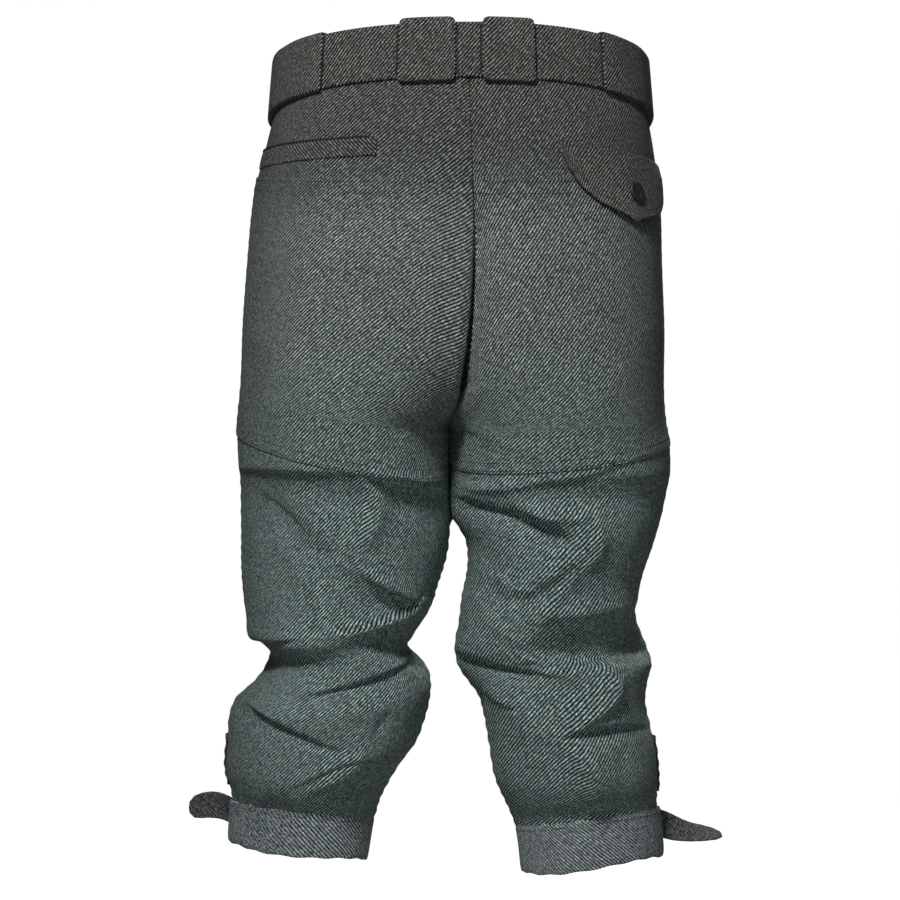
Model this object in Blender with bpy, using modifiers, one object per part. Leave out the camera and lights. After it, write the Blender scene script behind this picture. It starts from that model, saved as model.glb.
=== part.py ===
"""Knee breeches in wool twill, in the hollow form they keep when worn, with no wearer.

A standalone Blender 4.5 script in metres with +Z up. The front faces -Y and the wearer's left is +X.
The origin is the middle of the waist, where a wearer holds the garment up.
Run it with: blender --background --python part.py
"""

import math
from collections import namedtuple

import bmesh
import bpy
import numpy as np
from mathutils import Vector

MM = 0.001

# Cloth and gaps, in millimetres
PANEL_CLOTH = 1.6
PATCH_CLOTH = 1.2
BAND_CLOTH = 2.4
BELT_CLOTH = 2.6
LOOP_CLOTH = 2.2
TUNNEL_CLOTH = 1.8
FLAP_CLOTH = 2.2
WELT_CLOTH = 1.8
CUFF_CLOTH = 2.8
STRAP_CLOTH = 2.4
KEEPER_CLOTH = 1.6
FLY_CLOTH = 1.6
STRIP_CLOTH = 1.6
SEAM_GAP = 0.6
LAY_GAP = 0.5

# Heights on the outer side of the leg, in millimetres from the middle of the waist
WAISTBAND_TOP = 22.5
WAISTBAND_FOOT = -21.0
BELT_TOP = 23.0
BELT_FOOT = -24.0
CARRIER_FOOT = -29.0
PATCH_TOP = -78.0
PATCH_SEAM_INSET = 0.2
PATCH_SIDE_INSET = 0.05
PATCH_FOOT = {"left": -311.0, "right": -321.0}
CUFF_TOPS = {"left": -650.0, "right": -656.0}
CUFF_HEIGHTS = {"left": 38.0, "right": 43.0}
SIDE = {"left": 1.0, "right": -1.0}

# How the sections of the body are shaped: 2 is an ellipse, more is squarer. A panel's breadth gives the turn
# that leaves half a seam's gap at its edge.
ROUNDNESS = 2.2
PANEL_BREADTH = 260.0
EDGE_TURN = SEAM_GAP / 2 / PANEL_BREADTH

# Grid density of the panels
PANEL_COLUMNS = 11
ROW_SPACING = 17.0
CROTCH_ROW_SPACING = 9.0
STATIONS_A_QUARTER = PANEL_COLUMNS

# Rows of the trunk. `front` and `back` are depths from the side seam, `part` runs from 0, one round body,
# to 1, two legs that just touch. `seam_back` and `seam_front` say how far the centre seams lie to +X, and
# `lean` is the rise of a row per unit of depth to the back.
Trunk = namedtuple("Trunk", "level front back part seam_back seam_front lean")
TRUNK = (
    Trunk(-760, 53, 58, 1.00, 8, 8, 0.06),
    Trunk(-710, 57, 62, 1.00, 8, 8, 0.06),
    Trunk(-662, 61, 66, 1.00, 8, 8, 0.06),
    Trunk(-652, 62, 68, 1.00, 8, 8, 0.04),
    Trunk(-638, 72, 81, 1.00, 8, 8, 0.00),
    Trunk(-600, 84, 93, 1.00, 8, 8, 0.00),
    Trunk(-560, 91, 94, 1.00, 8, 8, 0.00),
    Trunk(-520, 96, 89, 1.00, 8, 8, 0.00),
    Trunk(-460, 103, 98, 1.00, 8, 8, -0.03),
    Trunk(-400, 108, 106, 1.00, 7, 7, -0.08),
    Trunk(-340, 111, 113, 1.00, 9, 9, -0.12),
    Trunk(-302, 113, 124, 1.00, 9, 9, -0.13),
    Trunk(-280, 114, 131, 0.86, 4, 4, -0.14),
    Trunk(-250, 115, 137, 0.66, -2, 1, -0.14),
    Trunk(-210, 115, 140, 0.48, -8, 0, -0.12),
    Trunk(-150, 114, 138, 0.34, -12, 0, -0.10),
    Trunk(-78, 113, 128, 0.18, -11, 0, -0.10),
    Trunk(-34, 115, 121, 0.02, -8, 0, 0.20),
    Trunk(-29, 115, 120, 0.00, -8, 0, 0.20),
    Trunk(-24, 115, 120, 0.00, -8, 0, 0.20),
    Trunk(-20, 115, 120, 0.00, -8, 0, 0.20),
    Trunk(30, 115, 118, 0.00, -8, 0, 0.20),
    Trunk(60, 115, 117, 0.00, -8, 0, 0.20),
)

# Outer edge of each leg, at rows named by their height there. `slant` is the rise of a row to the outer
# side, which follows the foot of the seat patch and the cuffs.
Outer = namedtuple("Outer", "level outer slant")
OUTER = {
    "left": (
        Outer(-740, 210, 0.12), Outer(-688, 209, 0.12), Outer(-650, 208, 0.12), Outer(-636, 211, 0.12),
        Outer(-623, 214, 0.12), Outer(-595, 213, 0.12), Outer(-568, 211, 0.12), Outer(-556, 206, 0.12),
        Outer(-540, 189, 0.12), Outer(-524, 178, 0.12), Outer(-511, 175, 0.12), Outer(-498, 192, 0.12),
        Outer(-480, 196, 0.13), Outer(-448, 200, 0.14), Outer(-393, 201, 0.17), Outer(-347, 202, 0.19),
        Outer(-315, 204, 0.20), Outer(-264, 200, 0.16), Outer(-209, 198, 0.12), Outer(-154, 194, 0.05),
        Outer(-108, 190, 0.00), Outer(-80, 186, 0.00), Outer(-52, 178, 0.00), Outer(-34, 173, 0.00),
        Outer(-29, 171.4, 0.00), Outer(-24, 171, 0.00), Outer(-20, 170.7, 0.00), Outer(60, 164, 0.00),
    ),
    "right": (
        Outer(-740, 183, 0.13), Outer(-699, 183, 0.13), Outer(-656, 180, 0.13), Outer(-632, 181, 0.12),
        Outer(-604, 179, 0.12), Outer(-577, 174, 0.11), Outer(-558, 170, 0.11), Outer(-540, 172, 0.11),
        Outer(-522, 176, 0.10), Outer(-510, 173, 0.10), Outer(-494, 166, 0.10), Outer(-476, 161, 0.10),
        Outer(-448, 166, 0.10), Outer(-411, 178, 0.10), Outer(-374, 188, 0.10), Outer(-347, 192, 0.10),
        Outer(-324, 192, 0.10), Outer(-301, 188, 0.09), Outer(-209, 186, 0.05), Outer(-154, 184, 0.02),
        Outer(-108, 183, 0.00), Outer(-80, 181, 0.00), Outer(-52, 177, 0.00), Outer(-34, 173.5, 0.00),
        Outer(-29, 172.4, 0.00), Outer(-24, 172, 0.00), Outer(-20, 171.7, 0.00), Outer(60, 165, 0.00),
    ),
}

# Inner edge of each leg below the crotch, toward its own side, at its true height
Inner = namedtuple("Inner", "level inner")
INNER = {
    "left": (
        Inner(-760, 90), Inner(-697, 85), Inner(-669, 80), Inner(-650, 74), Inner(-632, 65), Inner(-614, 54),
        Inner(-595, 40), Inner(-577, 33), Inner(-558, 28), Inner(-540, 27), Inner(-531, 29), Inner(-520, 37),
        Inner(-510, 48), Inner(-494, 41), Inner(-475, 29), Inner(-448, 19), Inner(-425, 12), Inner(-393, 9),
        Inner(-350, 11), Inner(-310, 11), Inner(-280, 11),
    ),
    "right": (
        Inner(-760, 58), Inner(-706, 56), Inner(-687, 54), Inner(-669, 50), Inner(-650, 41), Inner(-632, 33),
        Inner(-595, 26), Inner(-568, 21), Inner(-552, 16), Inner(-540, 7), Inner(-529, -1), Inner(-512, -5),
        Inner(-485, -1), Inner(-466, 1), Inner(-430, 7), Inner(-411, 5), Inner(-393, -4), Inner(-350, -7),
        Inner(-310, -7), Inner(-280, -7),
    ),
}
CROTCH = -302.0
CROTCH_FROM = CROTCH + 90
CROTCH_TO = CROTCH + 10

# The largest folds. A fold runs from its start by its middle to its end, across X and up Z as seen from the
# front or the back. `rise` is how far it stands out, negative for a trough, and `above` and `below` are its
# breadths on the upper and the lower side.
Fold = namedtuple("Fold", "leg face x0 z0 x1 z1 x2 z2 rise above below")
FOLDS = (
    Fold("left", "back", 215, -343, 110, -349, 8, -372, 7, 26, 9),
    Fold("left", "back", 215, -362, 110, -368, 8, -388, -6, 9, 22),
    Fold("left", "back", 92, -354, 79, -387, 98, -426, 6, 15, 15),
    Fold("left", "back", 180, -368, 146, -412, 116, -456, -7, 20, 20),
    Fold("left", "back", 163, -420, 157, -452, 152, -482, -5, 14, 14),
    Fold("left", "back", 112, -432, 44, -462, 80, -490, 9, 18, 14),
    Fold("left", "back", 70, -490, 124, -500, 205, -502, 11, 24, 12),
    Fold("left", "back", 215, -522, 150, -520, 84, -512, -10, 12, 18),
    Fold("left", "back", 30, -520, 90, -535, 152, -552, -9, 14, 10),
    Fold("left", "back", 214, -548, 124, -563, 30, -545, 9, 14, 14),
    Fold("left", "back", 208, -560, 140, -583, 100, -600, -9, 10, 14),
    Fold("left", "back", 92, -592, 100, -614, 142, -634, 7, 14, 14),
    Fold("left", "back", 134, -636, 98, -630, 60, -618, -5, 10, 12),
    Fold("left", "front", 205, -420, 130, -455, 40, -448, 8, 24, 14),
    Fold("left", "front", 40, -470, 120, -484, 205, -474, -8, 12, 20),
    Fold("left", "front", 205, -505, 120, -520, 40, -500, 10, 18, 14),
    Fold("left", "front", 45, -540, 120, -548, 208, -538, -9, 12, 14),
    Fold("left", "front", 208, -580, 140, -592, 60, -578, 8, 16, 14),
    Fold("left", "front", 70, -610, 130, -622, 200, -612, -6, 12, 14),
    Fold("left", "front", 160, -150, 90, -230, 30, -292, -5, 20, 20),
    Fold("right", "back", -205, -350, -110, -352, 0, -364, 7, 26, 9),
    Fold("right", "back", -205, -372, -120, -372, 2, -380, -7, 9, 18),
    Fold("right", "back", -40, -366, -80, -382, -130, -384, 6, 12, 12),
    Fold("right", "back", 0, -376, -57, -391, -102, -418, -8, 10, 14),
    Fold("right", "back", -130, -392, -96, -428, -46, -462, 8, 18, 18),
    Fold("right", "back", -14, -448, -62, -460, -106, -420, -7, 14, 16),
    Fold("right", "back", -78, -500, -124, -493, -185, -482, -11, 20, 16),
    Fold("right", "back", -66, -508, -84, -526, -122, -514, 9, 12, 12),
    Fold("right", "back", -114, -514, -136, -534, -92, -574, 9, 15, 15),
    Fold("right", "back", 4, -518, -38, -522, -104, -530, -8, 10, 12),
    Fold("right", "back", -98, -580, -132, -579, -185, -572, -9, 14, 14),
    Fold("right", "back", -92, -578, -118, -608, -126, -652, 7, 14, 14),
    Fold("right", "back", -20, -545, -55, -560, -90, -600, 6, 16, 16),
    Fold("right", "front", -190, -405, -110, -430, -20, -424, 8, 24, 14),
    Fold("right", "front", -15, -448, -90, -462, -175, -450, -8, 12, 20),
    Fold("right", "front", -175, -490, -100, -508, -10, -492, 9, 18, 14),
    Fold("right", "front", -10, -530, -90, -540, -175, -528, -9, 12, 14),
    Fold("right", "front", -178, -572, -110, -586, -30, -574, 8, 16, 14),
    Fold("right", "front", -45, -612, -110, -622, -176, -608, -6, 12, 14),
    Fold("right", "front", -155, -150, -85, -230, -25, -292, -5, 20, 20),
)
FOLD_DROOP = 0.35
FOLD_SAMPLES = 17


def column(table, name):
    """One named column of a table, as numbers."""
    return np.array([getattr(row, name) for row in table], float)


def along(table, name, at):
    """The named column at any level, on a smooth curve through the table's rows."""
    levels = column(table, "level")
    values = column(table, name)
    slopes = np.gradient(values, levels)
    at = np.clip(at, levels[0], levels[-1])
    i = np.clip(np.searchsorted(levels, at) - 1, 0, len(levels) - 2)
    span = levels[i + 1] - levels[i]
    t = (at - levels[i]) / span
    start = (2 * t**3 - 3 * t**2 + 1) * values[i] + (t**3 - 2 * t**2 + t) * span * slopes[i]
    finish = (3 * t**2 - 2 * t**3) * values[i + 1] + (t**3 - t**2) * span * slopes[i + 1]
    return start + finish


def fold_height(fold, x, z):
    """How far one fold lifts the cloth at places seen as X and Z, in millimetres."""
    t = np.linspace(0, 1, FOLD_SAMPLES)
    bend_x = 2 * fold.x1 - (fold.x0 + fold.x2) / 2
    bend_z = 2 * fold.z1 - (fold.z0 + fold.z2) / 2
    path_x = (1 - t) ** 2 * fold.x0 + 2 * t * (1 - t) * bend_x + t**2 * fold.x2
    path_z = (1 - t) ** 2 * fold.z0 + 2 * t * (1 - t) * bend_z + t**2 * fold.z2
    across = x[..., None] - path_x
    up = z[..., None] - path_z
    distance = np.hypot(across, up)
    near = distance.argmin(axis=-1)
    least = distance.min(axis=-1)
    is_above = np.take_along_axis(up, near[..., None], -1)[..., 0] > 0
    breadth = np.where(is_above, fold.above, fold.below)
    fade = np.sin(math.pi * (near + 0.5) / FOLD_SAMPLES) ** 0.7
    return fold.rise * fade * np.exp(-((least / breadth) ** 2))


def form(leg, level, turn):
    """Points and outward directions of one half of the garment, in millimetres.

    `level` names a row by its height at the side seam. `turn` is 0 at the side seam, 1 at the back seam or
    the inseam and -1 at the front seam or the inseam.
    """
    side = SIDE[leg]
    level, turn = np.broadcast_arrays(np.asarray(level, float), np.asarray(turn, float))
    behind = turn > 0
    outer = along(OUTER[leg], "outer", level)
    slant = along(OUTER[leg], "slant", level)
    inside_level = level - slant * outer
    seam = np.where(behind, along(TRUNK, "seam_back", inside_level), along(TRUNK, "seam_front", inside_level))
    seam = side * seam + SEAM_GAP / 2
    part = np.clip(along(TRUNK, "part", inside_level), 0, 1)
    joined = inside_level > CROTCH
    half_joined = (outer - seam) / (1 + part)
    inner = along(INNER[leg], "inner", inside_level)
    inner = along(INNER[leg], "inner", level - slant * (outer - inner))
    half = np.where(joined, half_joined, (outer - inner) / 2)
    middle = outer - half
    depth = np.where(behind, along(TRUNK, "back", level), along(TRUNK, "front", level))
    reach = np.where(joined, math.pi - np.arccos(part ** (ROUNDNESS / 2)), math.pi)
    angle = np.abs(turn) * reach
    power = 2 / ROUNDNESS
    cosine = np.sign(np.cos(angle)) * np.abs(np.cos(angle)) ** power
    sine = np.abs(np.sin(angle)) ** power * np.where(behind, 1, -1)
    x = middle + half * cosine
    y = depth * sine
    ahead = np.sign(cosine) * np.abs(cosine) ** (ROUNDNESS - 1) / half
    astern = np.sign(sine) * np.abs(sine) ** (ROUNDNESS - 1) / depth
    length = np.hypot(ahead, astern)
    outward = np.stack([side * ahead / length, astern / length, np.zeros_like(x)], -1)
    z = level - slant * (outer - x) + along(TRUNK, "lean", inside_level) * y
    return np.stack([side * x, y, z], -1), outward


def cloth(leg, level, turn, out=0.0):
    """Points of one half with its folds, in millimetres, moved out from the outer face by `out`."""
    points, outward = form(leg, level, turn)
    lift = np.zeros(points.shape[:-1])
    facing = {"back": outward[..., 1], "front": -outward[..., 1]}
    for fold in FOLDS:
        if fold.leg != leg:
            continue
        shown = np.clip((facing[fold.face] + 0.1) / 0.45, 0, 1)
        shown = shown * shown * (3 - 2 * shown)
        lift += shown * fold_height(fold, points[..., 0], points[..., 2])
    points = points + outward * lift[..., None]
    points[..., 2] -= FOLD_DROOP * np.clip(lift, 0, None)
    return points + outward * out


def row_levels(leg):
    """The rows of one leg's panels, from the waistband's foot to the cuff, closer together at the crotch."""
    top = WAISTBAND_FOOT - SEAM_GAP
    stops = [top, CARRIER_FOOT, PATCH_TOP, CROTCH_FROM, CROTCH_TO, PATCH_FOOT[leg], CUFF_TOPS[leg]]
    rows = [top]
    for high, low in zip(stops, stops[1:]):
        close = high == CROTCH_FROM
        count = max(1, round((high - low) / (CROTCH_ROW_SPACING if close else ROW_SPACING)))
        rows += list(np.linspace(high, low, count + 1)[1:])
    return np.array(rows)


def panel_turns(face):
    """The columns of a panel, from the side seam to the centre seam or the inseam."""
    turns = np.linspace(EDGE_TURN, 1 - EDGE_TURN, PANEL_COLUMNS + 1)
    return turns if face == "back" else -turns


class Panel:
    """A panel's outer face as a grid of points, which the pieces that lie on it are made from."""

    def __init__(self, leg, face):
        self.leg = leg
        self.face = face
        self.levels = row_levels(leg)
        self.turns = panel_turns(face)
        self.points = cloth(leg, self.levels[:, None], self.turns[None, :])
        self.outward = self.normals()

    def normals(self):
        """The surface's own directions outward at each point."""
        down = np.gradient(self.points, axis=0)
        across = np.gradient(self.points, axis=1)
        normal = np.cross(across, down)
        normal /= np.linalg.norm(normal, axis=-1, keepdims=True)
        outward = form(self.leg, self.levels[:, None], self.turns[None, :])[1]
        if (normal * outward).sum() < 0:
            normal = -normal
        return normal

    def level_at(self, height, turn):
        """The rows that reach the given heights, for each turn."""
        height, turn = np.broadcast_arrays(np.asarray(height, float), np.asarray(turn, float))
        found = np.empty(height.shape)
        for place in np.ndindex(height.shape):
            heights = self.at(self.levels, turn[place])[:, 2]
            found[place] = np.interp(-height[place], -heights, self.levels)
        return found

    def at(self, level, turn, out=0.0):
        """A place on the faceted panel, moved out from it."""
        level, turn, out = np.broadcast_arrays(*(np.asarray(v, float) for v in (level, turn, out)))
        row = np.interp(-level, -self.levels, np.arange(len(self.levels)))
        order = np.argsort(self.turns)
        place = np.interp(turn, self.turns[order], np.arange(len(order), dtype=float)[order])
        r = np.clip(row.astype(int), 0, len(self.levels) - 2)
        c = np.clip(place.astype(int), 0, len(self.turns) - 2)
        u = (row - r)[..., None]
        v = (place - c)[..., None]
        found = []
        for grid in (self.points, self.outward):
            high = grid[r, c] * (1 - v) + grid[r, c + 1] * v
            low = grid[r + 1, c] * (1 - v) + grid[r + 1, c + 1] * v
            found.append(high * (1 - u) + low * u)
        return found[0] + found[1] * out[..., None]


def finish(name, colour, roughness, metallic=0.0):
    """A Principled material with the piece's colour."""
    material = bpy.data.materials.new(name)
    material.use_nodes = True
    shader = material.node_tree.nodes["Principled BSDF"]
    shader.inputs["Base Color"].default_value = (*colour, 1)
    shader.inputs["Roughness"].default_value = roughness
    shader.inputs["Metallic"].default_value = metallic
    material.diffuse_color = (*colour, 1)
    return material


def place(name, mesh, material, collection):
    """Puts a mesh in the garment's collection as a named object."""
    mesh.materials.append(material)
    piece = bpy.data.objects.new(name, mesh)
    collection.objects.link(piece)
    return piece


def grid_mesh(name, points, outward):
    """Bends a flat Blender grid to the given points, facing outward."""
    rows, columns = points.shape[:2]
    shape = bmesh.new()
    bmesh.ops.create_grid(shape, x_segments=columns - 1, y_segments=rows - 1, size=1)
    shape.verts.ensure_lookup_table()
    for vertex, point in zip(shape.verts, points.reshape(-1, 3)):
        vertex.co = point * MM
    shape.normal_update()
    ahead = np.broadcast_to(outward, points.shape).reshape(-1, 3)
    facing = 0.0
    for face in shape.faces:
        for corner in face.verts:
            facing += face.calc_area() * np.dot(np.asarray(face.normal), ahead[corner.index])
    if facing < 0:
        bmesh.ops.reverse_faces(shape, faces=shape.faces)
    mesh = bpy.data.meshes.new(name)
    shape.to_mesh(mesh)
    shape.free()
    return mesh


def cloth_piece(name, points, outward, thickness, material, collection):
    """A sheet of cloth whose outer face goes through the points."""
    piece = place(name, grid_mesh(name, points, outward), material, collection)
    wall = piece.modifiers.new("Cloth", "SOLIDIFY")
    wall.thickness = thickness * MM
    wall.offset = -1
    wall.use_even_offset = True
    wall.use_rim = True
    return piece


def ring_stations():
    """Places round the waist where the waistband, belt and carriers all have a column."""
    return np.arange(0, 4.0001, 1 / STATIONS_A_QUARTER)


def waist(way, level, out=0.0):
    """Points round the waist in millimetres, and their outward directions.

    `way` is 0 at the centre back, 1 at the left side, 2 at the centre front and 3 at the right side. Between
    the stations the points lie on straight facets, so that the layers stay apart.
    """
    way, level, out = np.broadcast_arrays(*(np.asarray(v, float) for v in (way, level, out)))
    stations = ring_stations()
    way = np.mod(way, 4)
    i = np.clip(np.searchsorted(stations, way, side="right") - 1, 0, len(stations) - 2)
    share = ((way - stations[i]) / (stations[i + 1] - stations[i]))[..., None]
    ends = []
    for station in (stations[i], stations[i + 1]):
        left_point, left_out = form("left", level, 1 - station)
        right_point, right_out = form("right", level, station - 3)
        on_left = (station <= 2)[..., None]
        point = np.where(on_left, left_point, right_point)
        outward = np.where(on_left, left_out, right_out)
        ends.append(point + outward * out[..., None])
        ends.append(outward)
    outward = ends[1] * (1 - share) + ends[3] * share
    outward /= np.linalg.norm(outward, axis=-1, keepdims=True)
    return ends[0] * (1 - share) + ends[2] * share, outward


def ways_between(first, last):
    """The stations between two places on the ring, with both ends, in order."""
    low, high = min(first, last), max(first, last)
    stations = np.arange(math.floor(low) - 1, math.ceil(high) + 1.0001, 1 / STATIONS_A_QUARTER)
    inside = stations[(stations > low + 0.01) & (stations < high - 0.01)]
    ways = np.concatenate([[low], inside, [high]])
    return ways if first < last else ways[::-1]


def build_panels(material, collection):
    """The fronts, the backs and the seat patches, which use the backs' own rows and columns."""
    panels = {}
    for leg in SIDE:
        for face in ("front", "back"):
            panel = Panel(leg, face)
            panels[leg, face] = panel
            name = f"{face}_{leg}"
            cloth_piece(name, panel.points, panel.outward, PANEL_CLOTH, material, collection)
        back = panels[leg, "back"]
        rows = (back.levels <= PATCH_TOP + 0.1) & (back.levels >= PATCH_FOOT[leg] - 0.1)
        out = LAY_GAP + PATCH_CLOTH
        base = back.points[rows].copy()
        outward = back.outward[rows].copy()
        for grid in (base, outward):
            grid[:, -1] += (grid[:, -2] - grid[:, -1]) * PATCH_SEAM_INSET
            grid[:, 0] += (grid[:, 1] - grid[:, 0]) * PATCH_SIDE_INSET
        cloth_piece(f"seat_{leg}", base + outward * out, outward, PATCH_CLOTH, material, collection)
    return panels


def build_waistband(material, collection):
    """Two halves of waistband, from the centre back to the centre front."""
    levels = np.array([WAISTBAND_TOP, WAISTBAND_FOOT])
    halves = (("left", EDGE_TURN, 2 - EDGE_TURN), ("right", 2 + EDGE_TURN, 4 - EDGE_TURN))
    for leg, first, last in halves:
        points, outward = waist(ways_between(first, last)[None, :], levels[:, None])
        cloth_piece(f"waistband_{leg}", points, outward, BAND_CLOTH, material, collection)


# The belt's way: it starts behind the slide on the wearer's left of the centre front, runs round the back
# and comes over the slide's middle bar to lie on its own start. `lift` is how far its outer face stands out.
Lift = namedtuple("Lift", "way lift")
BELT_LIFT = (
    Lift(1.985, 3.0), Lift(1.93, 3.0), Lift(-1.86, 3.0), Lift(-1.915, 3.2), Lift(-1.932, 5.0), Lift(-1.948, 8.6),
    Lift(-1.975, 13.2), Lift(-2.022, 13.2), Lift(-2.05, 8.4), Lift(-2.066, 5.9), Lift(-2.10, 5.8), Lift(-2.6, 5.8),
)


BELT_TIP = 2.56
BELT_TIP_START = 2.50
BELT_TIP_BREADTH = 0.35
BELT_LINES = (1.0, 0.34, -0.34, -1.0)


def build_belt(material, collection):
    """The cloth belt, with a pointed free end."""
    rows = column(BELT_LIFT, "way")
    over_slide = rows[3:-2]
    ways = np.concatenate([rows[:1], ways_between(rows[1], rows[2]), over_slide, ways_between(rows[-2], -BELT_TIP)])
    lift = np.interp(-ways, -rows, column(BELT_LIFT, "lift"))
    middle = (BELT_TOP + BELT_FOOT) / 2
    half = (BELT_TOP - BELT_FOOT) / 2
    taper = np.interp(-ways, [BELT_TIP_START, BELT_TIP], [1.0, BELT_TIP_BREADTH])
    levels = middle + half * np.array(BELT_LINES)[:, None] * taper[None, :]
    points, outward = waist(ways[None, :], levels, lift[None, :])
    cloth_piece("belt", points, outward, BELT_CLOTH, material, collection)


# A carrier's way over the belt, by its corners' distance out from the waist and their height
Corner = namedtuple("Corner", "out level")
CARRIER_BEND = 1.4
CARRIER_INNER = 3.6
Carrier = namedtuple("Carrier", "node first last top foot thickness")
CARRIERS = (
    Carrier("loop_back_left", 0.035, 0.20, 28.5, -28.5, LOOP_CLOTH),
    Carrier("loop_back_right", 3.80, 3.965, 28.5, -28.5, LOOP_CLOTH),
    Carrier("tunnel_left", 0.50, 1.38, 26.0, -26.8, TUNNEL_CLOTH),
    Carrier("tunnel_right", 2.62, 3.51, 26.0, -26.8, TUNNEL_CLOTH),
)


def build_carrier(name, first, last, top, foot, thickness, material, collection):
    """A carrier folded over the belt, whose ends reach in to the waistband above and the panel below."""
    outer = CARRIER_INNER + thickness
    path = (
        Corner(-BAND_CLOTH, top), Corner(outer - CARRIER_BEND, top), Corner(outer, top - CARRIER_BEND),
        Corner(outer, foot + CARRIER_BEND), Corner(outer - CARRIER_BEND, foot), Corner(LAY_GAP, foot),
    )
    ways = ways_between(first, last)[None, :]
    levels = column(path, "level")[:, None]
    outs = column(path, "out")[:, None]
    points, outward = waist(ways, levels, outs)
    cloth_piece(name, points, outward, thickness, material, collection)


def build_carriers(material, collection):
    """Two wide loops beside the centre back and a long tunnel round each side."""
    for carrier in CARRIERS:
        build_carrier(*carrier, material=material, collection=collection)


SLIDE_WIRE = 1.8
SLIDE_HALF_WIDTH = 24.0
SLIDE_HALF_HEIGHT = 29.0
SLIDE_CORNER = 6.0
SLIDE_OUT = 8.2


def rounded_frame(half_width, half_height, corner, steps=4):
    """A closed rounded rectangle, as places across and up."""
    outline = []
    for quarter in range(4):
        turn = quarter * math.pi / 2
        across = (half_width - corner) * (1 if quarter in (0, 3) else -1)
        up = (half_height - corner) * (1 if quarter in (0, 1) else -1)
        for step in range(steps + 1):
            angle = turn + step / steps * math.pi / 2
            outline.append((across + corner * math.cos(angle), up + corner * math.sin(angle)))
    return outline


def wire(name, outline, closed, material, collection):
    """A round wire along an outline of places across and up."""
    curve = bpy.data.curves.new(name, "CURVE")
    curve.dimensions = "3D"
    curve.bevel_depth = SLIDE_WIRE * MM
    curve.bevel_resolution = 1
    curve.use_fill_caps = True
    spline = curve.splines.new("POLY")
    spline.points.add(len(outline) - 1)
    spline.use_cyclic_u = closed
    for point, (across, up) in zip(spline.points, outline):
        point.co = (across * MM, 0, up * MM, 1)
    return mesh_of(bpy.data.objects.new(f"{name}_wire", curve), name, material, collection)


def build_slide(material, collection):
    """A plain wire slide at the centre front, with a middle bar that the belt lies over."""
    centre, _ = waist(np.array(2.0), np.array((BELT_TOP + BELT_FOOT) / 2), np.array(SLIDE_OUT))
    outline = rounded_frame(SLIDE_HALF_WIDTH, SLIDE_HALF_HEIGHT, SLIDE_CORNER)
    ends = [(0, SLIDE_HALF_HEIGHT), (0, -SLIDE_HALF_HEIGHT)]
    frame = wire("belt_buckle", outline, True, material, collection)
    bar = wire("belt_buckle_bar", ends, False, material, collection)
    for piece in (frame, bar):
        piece.location = [value * MM for value in centre]
    join = frame.modifiers.new("Bar", "BOOLEAN")
    join.operation = "UNION"
    join.solver = "EXACT"
    join.object = bar
    bar.hide_render = True
    bar.display_type = "WIRE"


def mesh_of(source, name, material, collection):
    """Turns a curve object into a mesh object of the garment."""
    bpy.context.scene.collection.objects.link(source)
    graph = bpy.context.evaluated_depsgraph_get()
    mesh = bpy.data.meshes.new_from_object(source.evaluated_get(graph))
    bpy.data.objects.remove(source)
    mesh.name = name
    mesh.materials.clear()
    return place(name, mesh, material, collection)


# The keeper lies between two stations, counted from the centre back
KEEPER_STATIONS = (17.2, 17.95)
KEEPER_OUT = 6.5 + KEEPER_CLOTH
KEEPER_TOP = BELT_TOP + SEAM_GAP + KEEPER_CLOTH
KEEPER_FOOT = BELT_FOOT - SEAM_GAP - KEEPER_CLOTH


def build_keeper(material, collection):
    """A narrow cloth loop round both layers of the belt."""
    ways = np.array(KEEPER_STATIONS) / STATIONS_A_QUARTER
    path = (
        Corner(LAY_GAP, KEEPER_TOP), Corner(KEEPER_OUT, KEEPER_TOP), Corner(KEEPER_OUT, 0),
        Corner(KEEPER_OUT, KEEPER_FOOT), Corner(LAY_GAP, KEEPER_FOOT),
    )
    points, outward = waist(ways[None, :], column(path, "level")[:, None], column(path, "out")[:, None])
    cloth_piece("belt_keeper", points, outward, KEEPER_CLOTH, material, collection)


WELT_TURNS = (0.07, 0.735)
WELT_TOP_INNER = -54.0
WELT_TOP_OUTER = -57.0
WELT_HEIGHT = 15.0

# The welt's section: `share` of its height down, and how far its face stands out over the cloth's own thickness
WeltRow = namedtuple("WeltRow", "share stand")
WELT_ROWS = (WeltRow(0, 0.3), WeltRow(0.25, 0.9), WeltRow(0.65, 0.8), WeltRow(1, 0.1))


def build_welt(panel, material, collection):
    """The left back pocket's welt, a folded strip that stands a little off the panel."""
    turns = panel_places(panel, *WELT_TURNS)
    tops = np.interp(turns, WELT_TURNS, [WELT_TOP_OUTER, WELT_TOP_INNER])
    shares = column(WELT_ROWS, "share")[:, None]
    levels = panel.level_at(tops[None, :] - shares * WELT_HEIGHT, turns[None, :])
    outs = WELT_CLOTH + LAY_GAP + column(WELT_ROWS, "stand")[:, None]
    points = panel.at(levels, turns[None, :], outs)
    ahead = panel.at(levels, turns[None, :], outs + 1)
    cloth_piece("pocket_welt", points, ahead - points, WELT_CLOTH, material, collection)


def panel_places(panel, first, last):
    """A panel's own columns between two turns, with both ends."""
    inside = panel.turns[(panel.turns > first + 0.02) & (panel.turns < last - 0.02)]
    return np.concatenate([[first], inside, [last]])


# The flap's lower edge: `across` runs from the centre, 0, to either end, 1
FlapEdge = namedtuple("FlapEdge", "across drop")
FLAP_EDGE = (
    FlapEdge(0.0, 62), FlapEdge(0.12, 57), FlapEdge(0.35, 53), FlapEdge(0.6, 46), FlapEdge(0.8, 35),
    FlapEdge(0.93, 20), FlapEdge(1.0, 7),
)
FLAP_TURNS = (0.09, 0.72)
FLAP_TOP_INNER = -58.5
FLAP_TOP_OUTER = -70.0
FLAP_ROWS = 7
FLAP_CORNER_LIFT = 0.03

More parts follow.
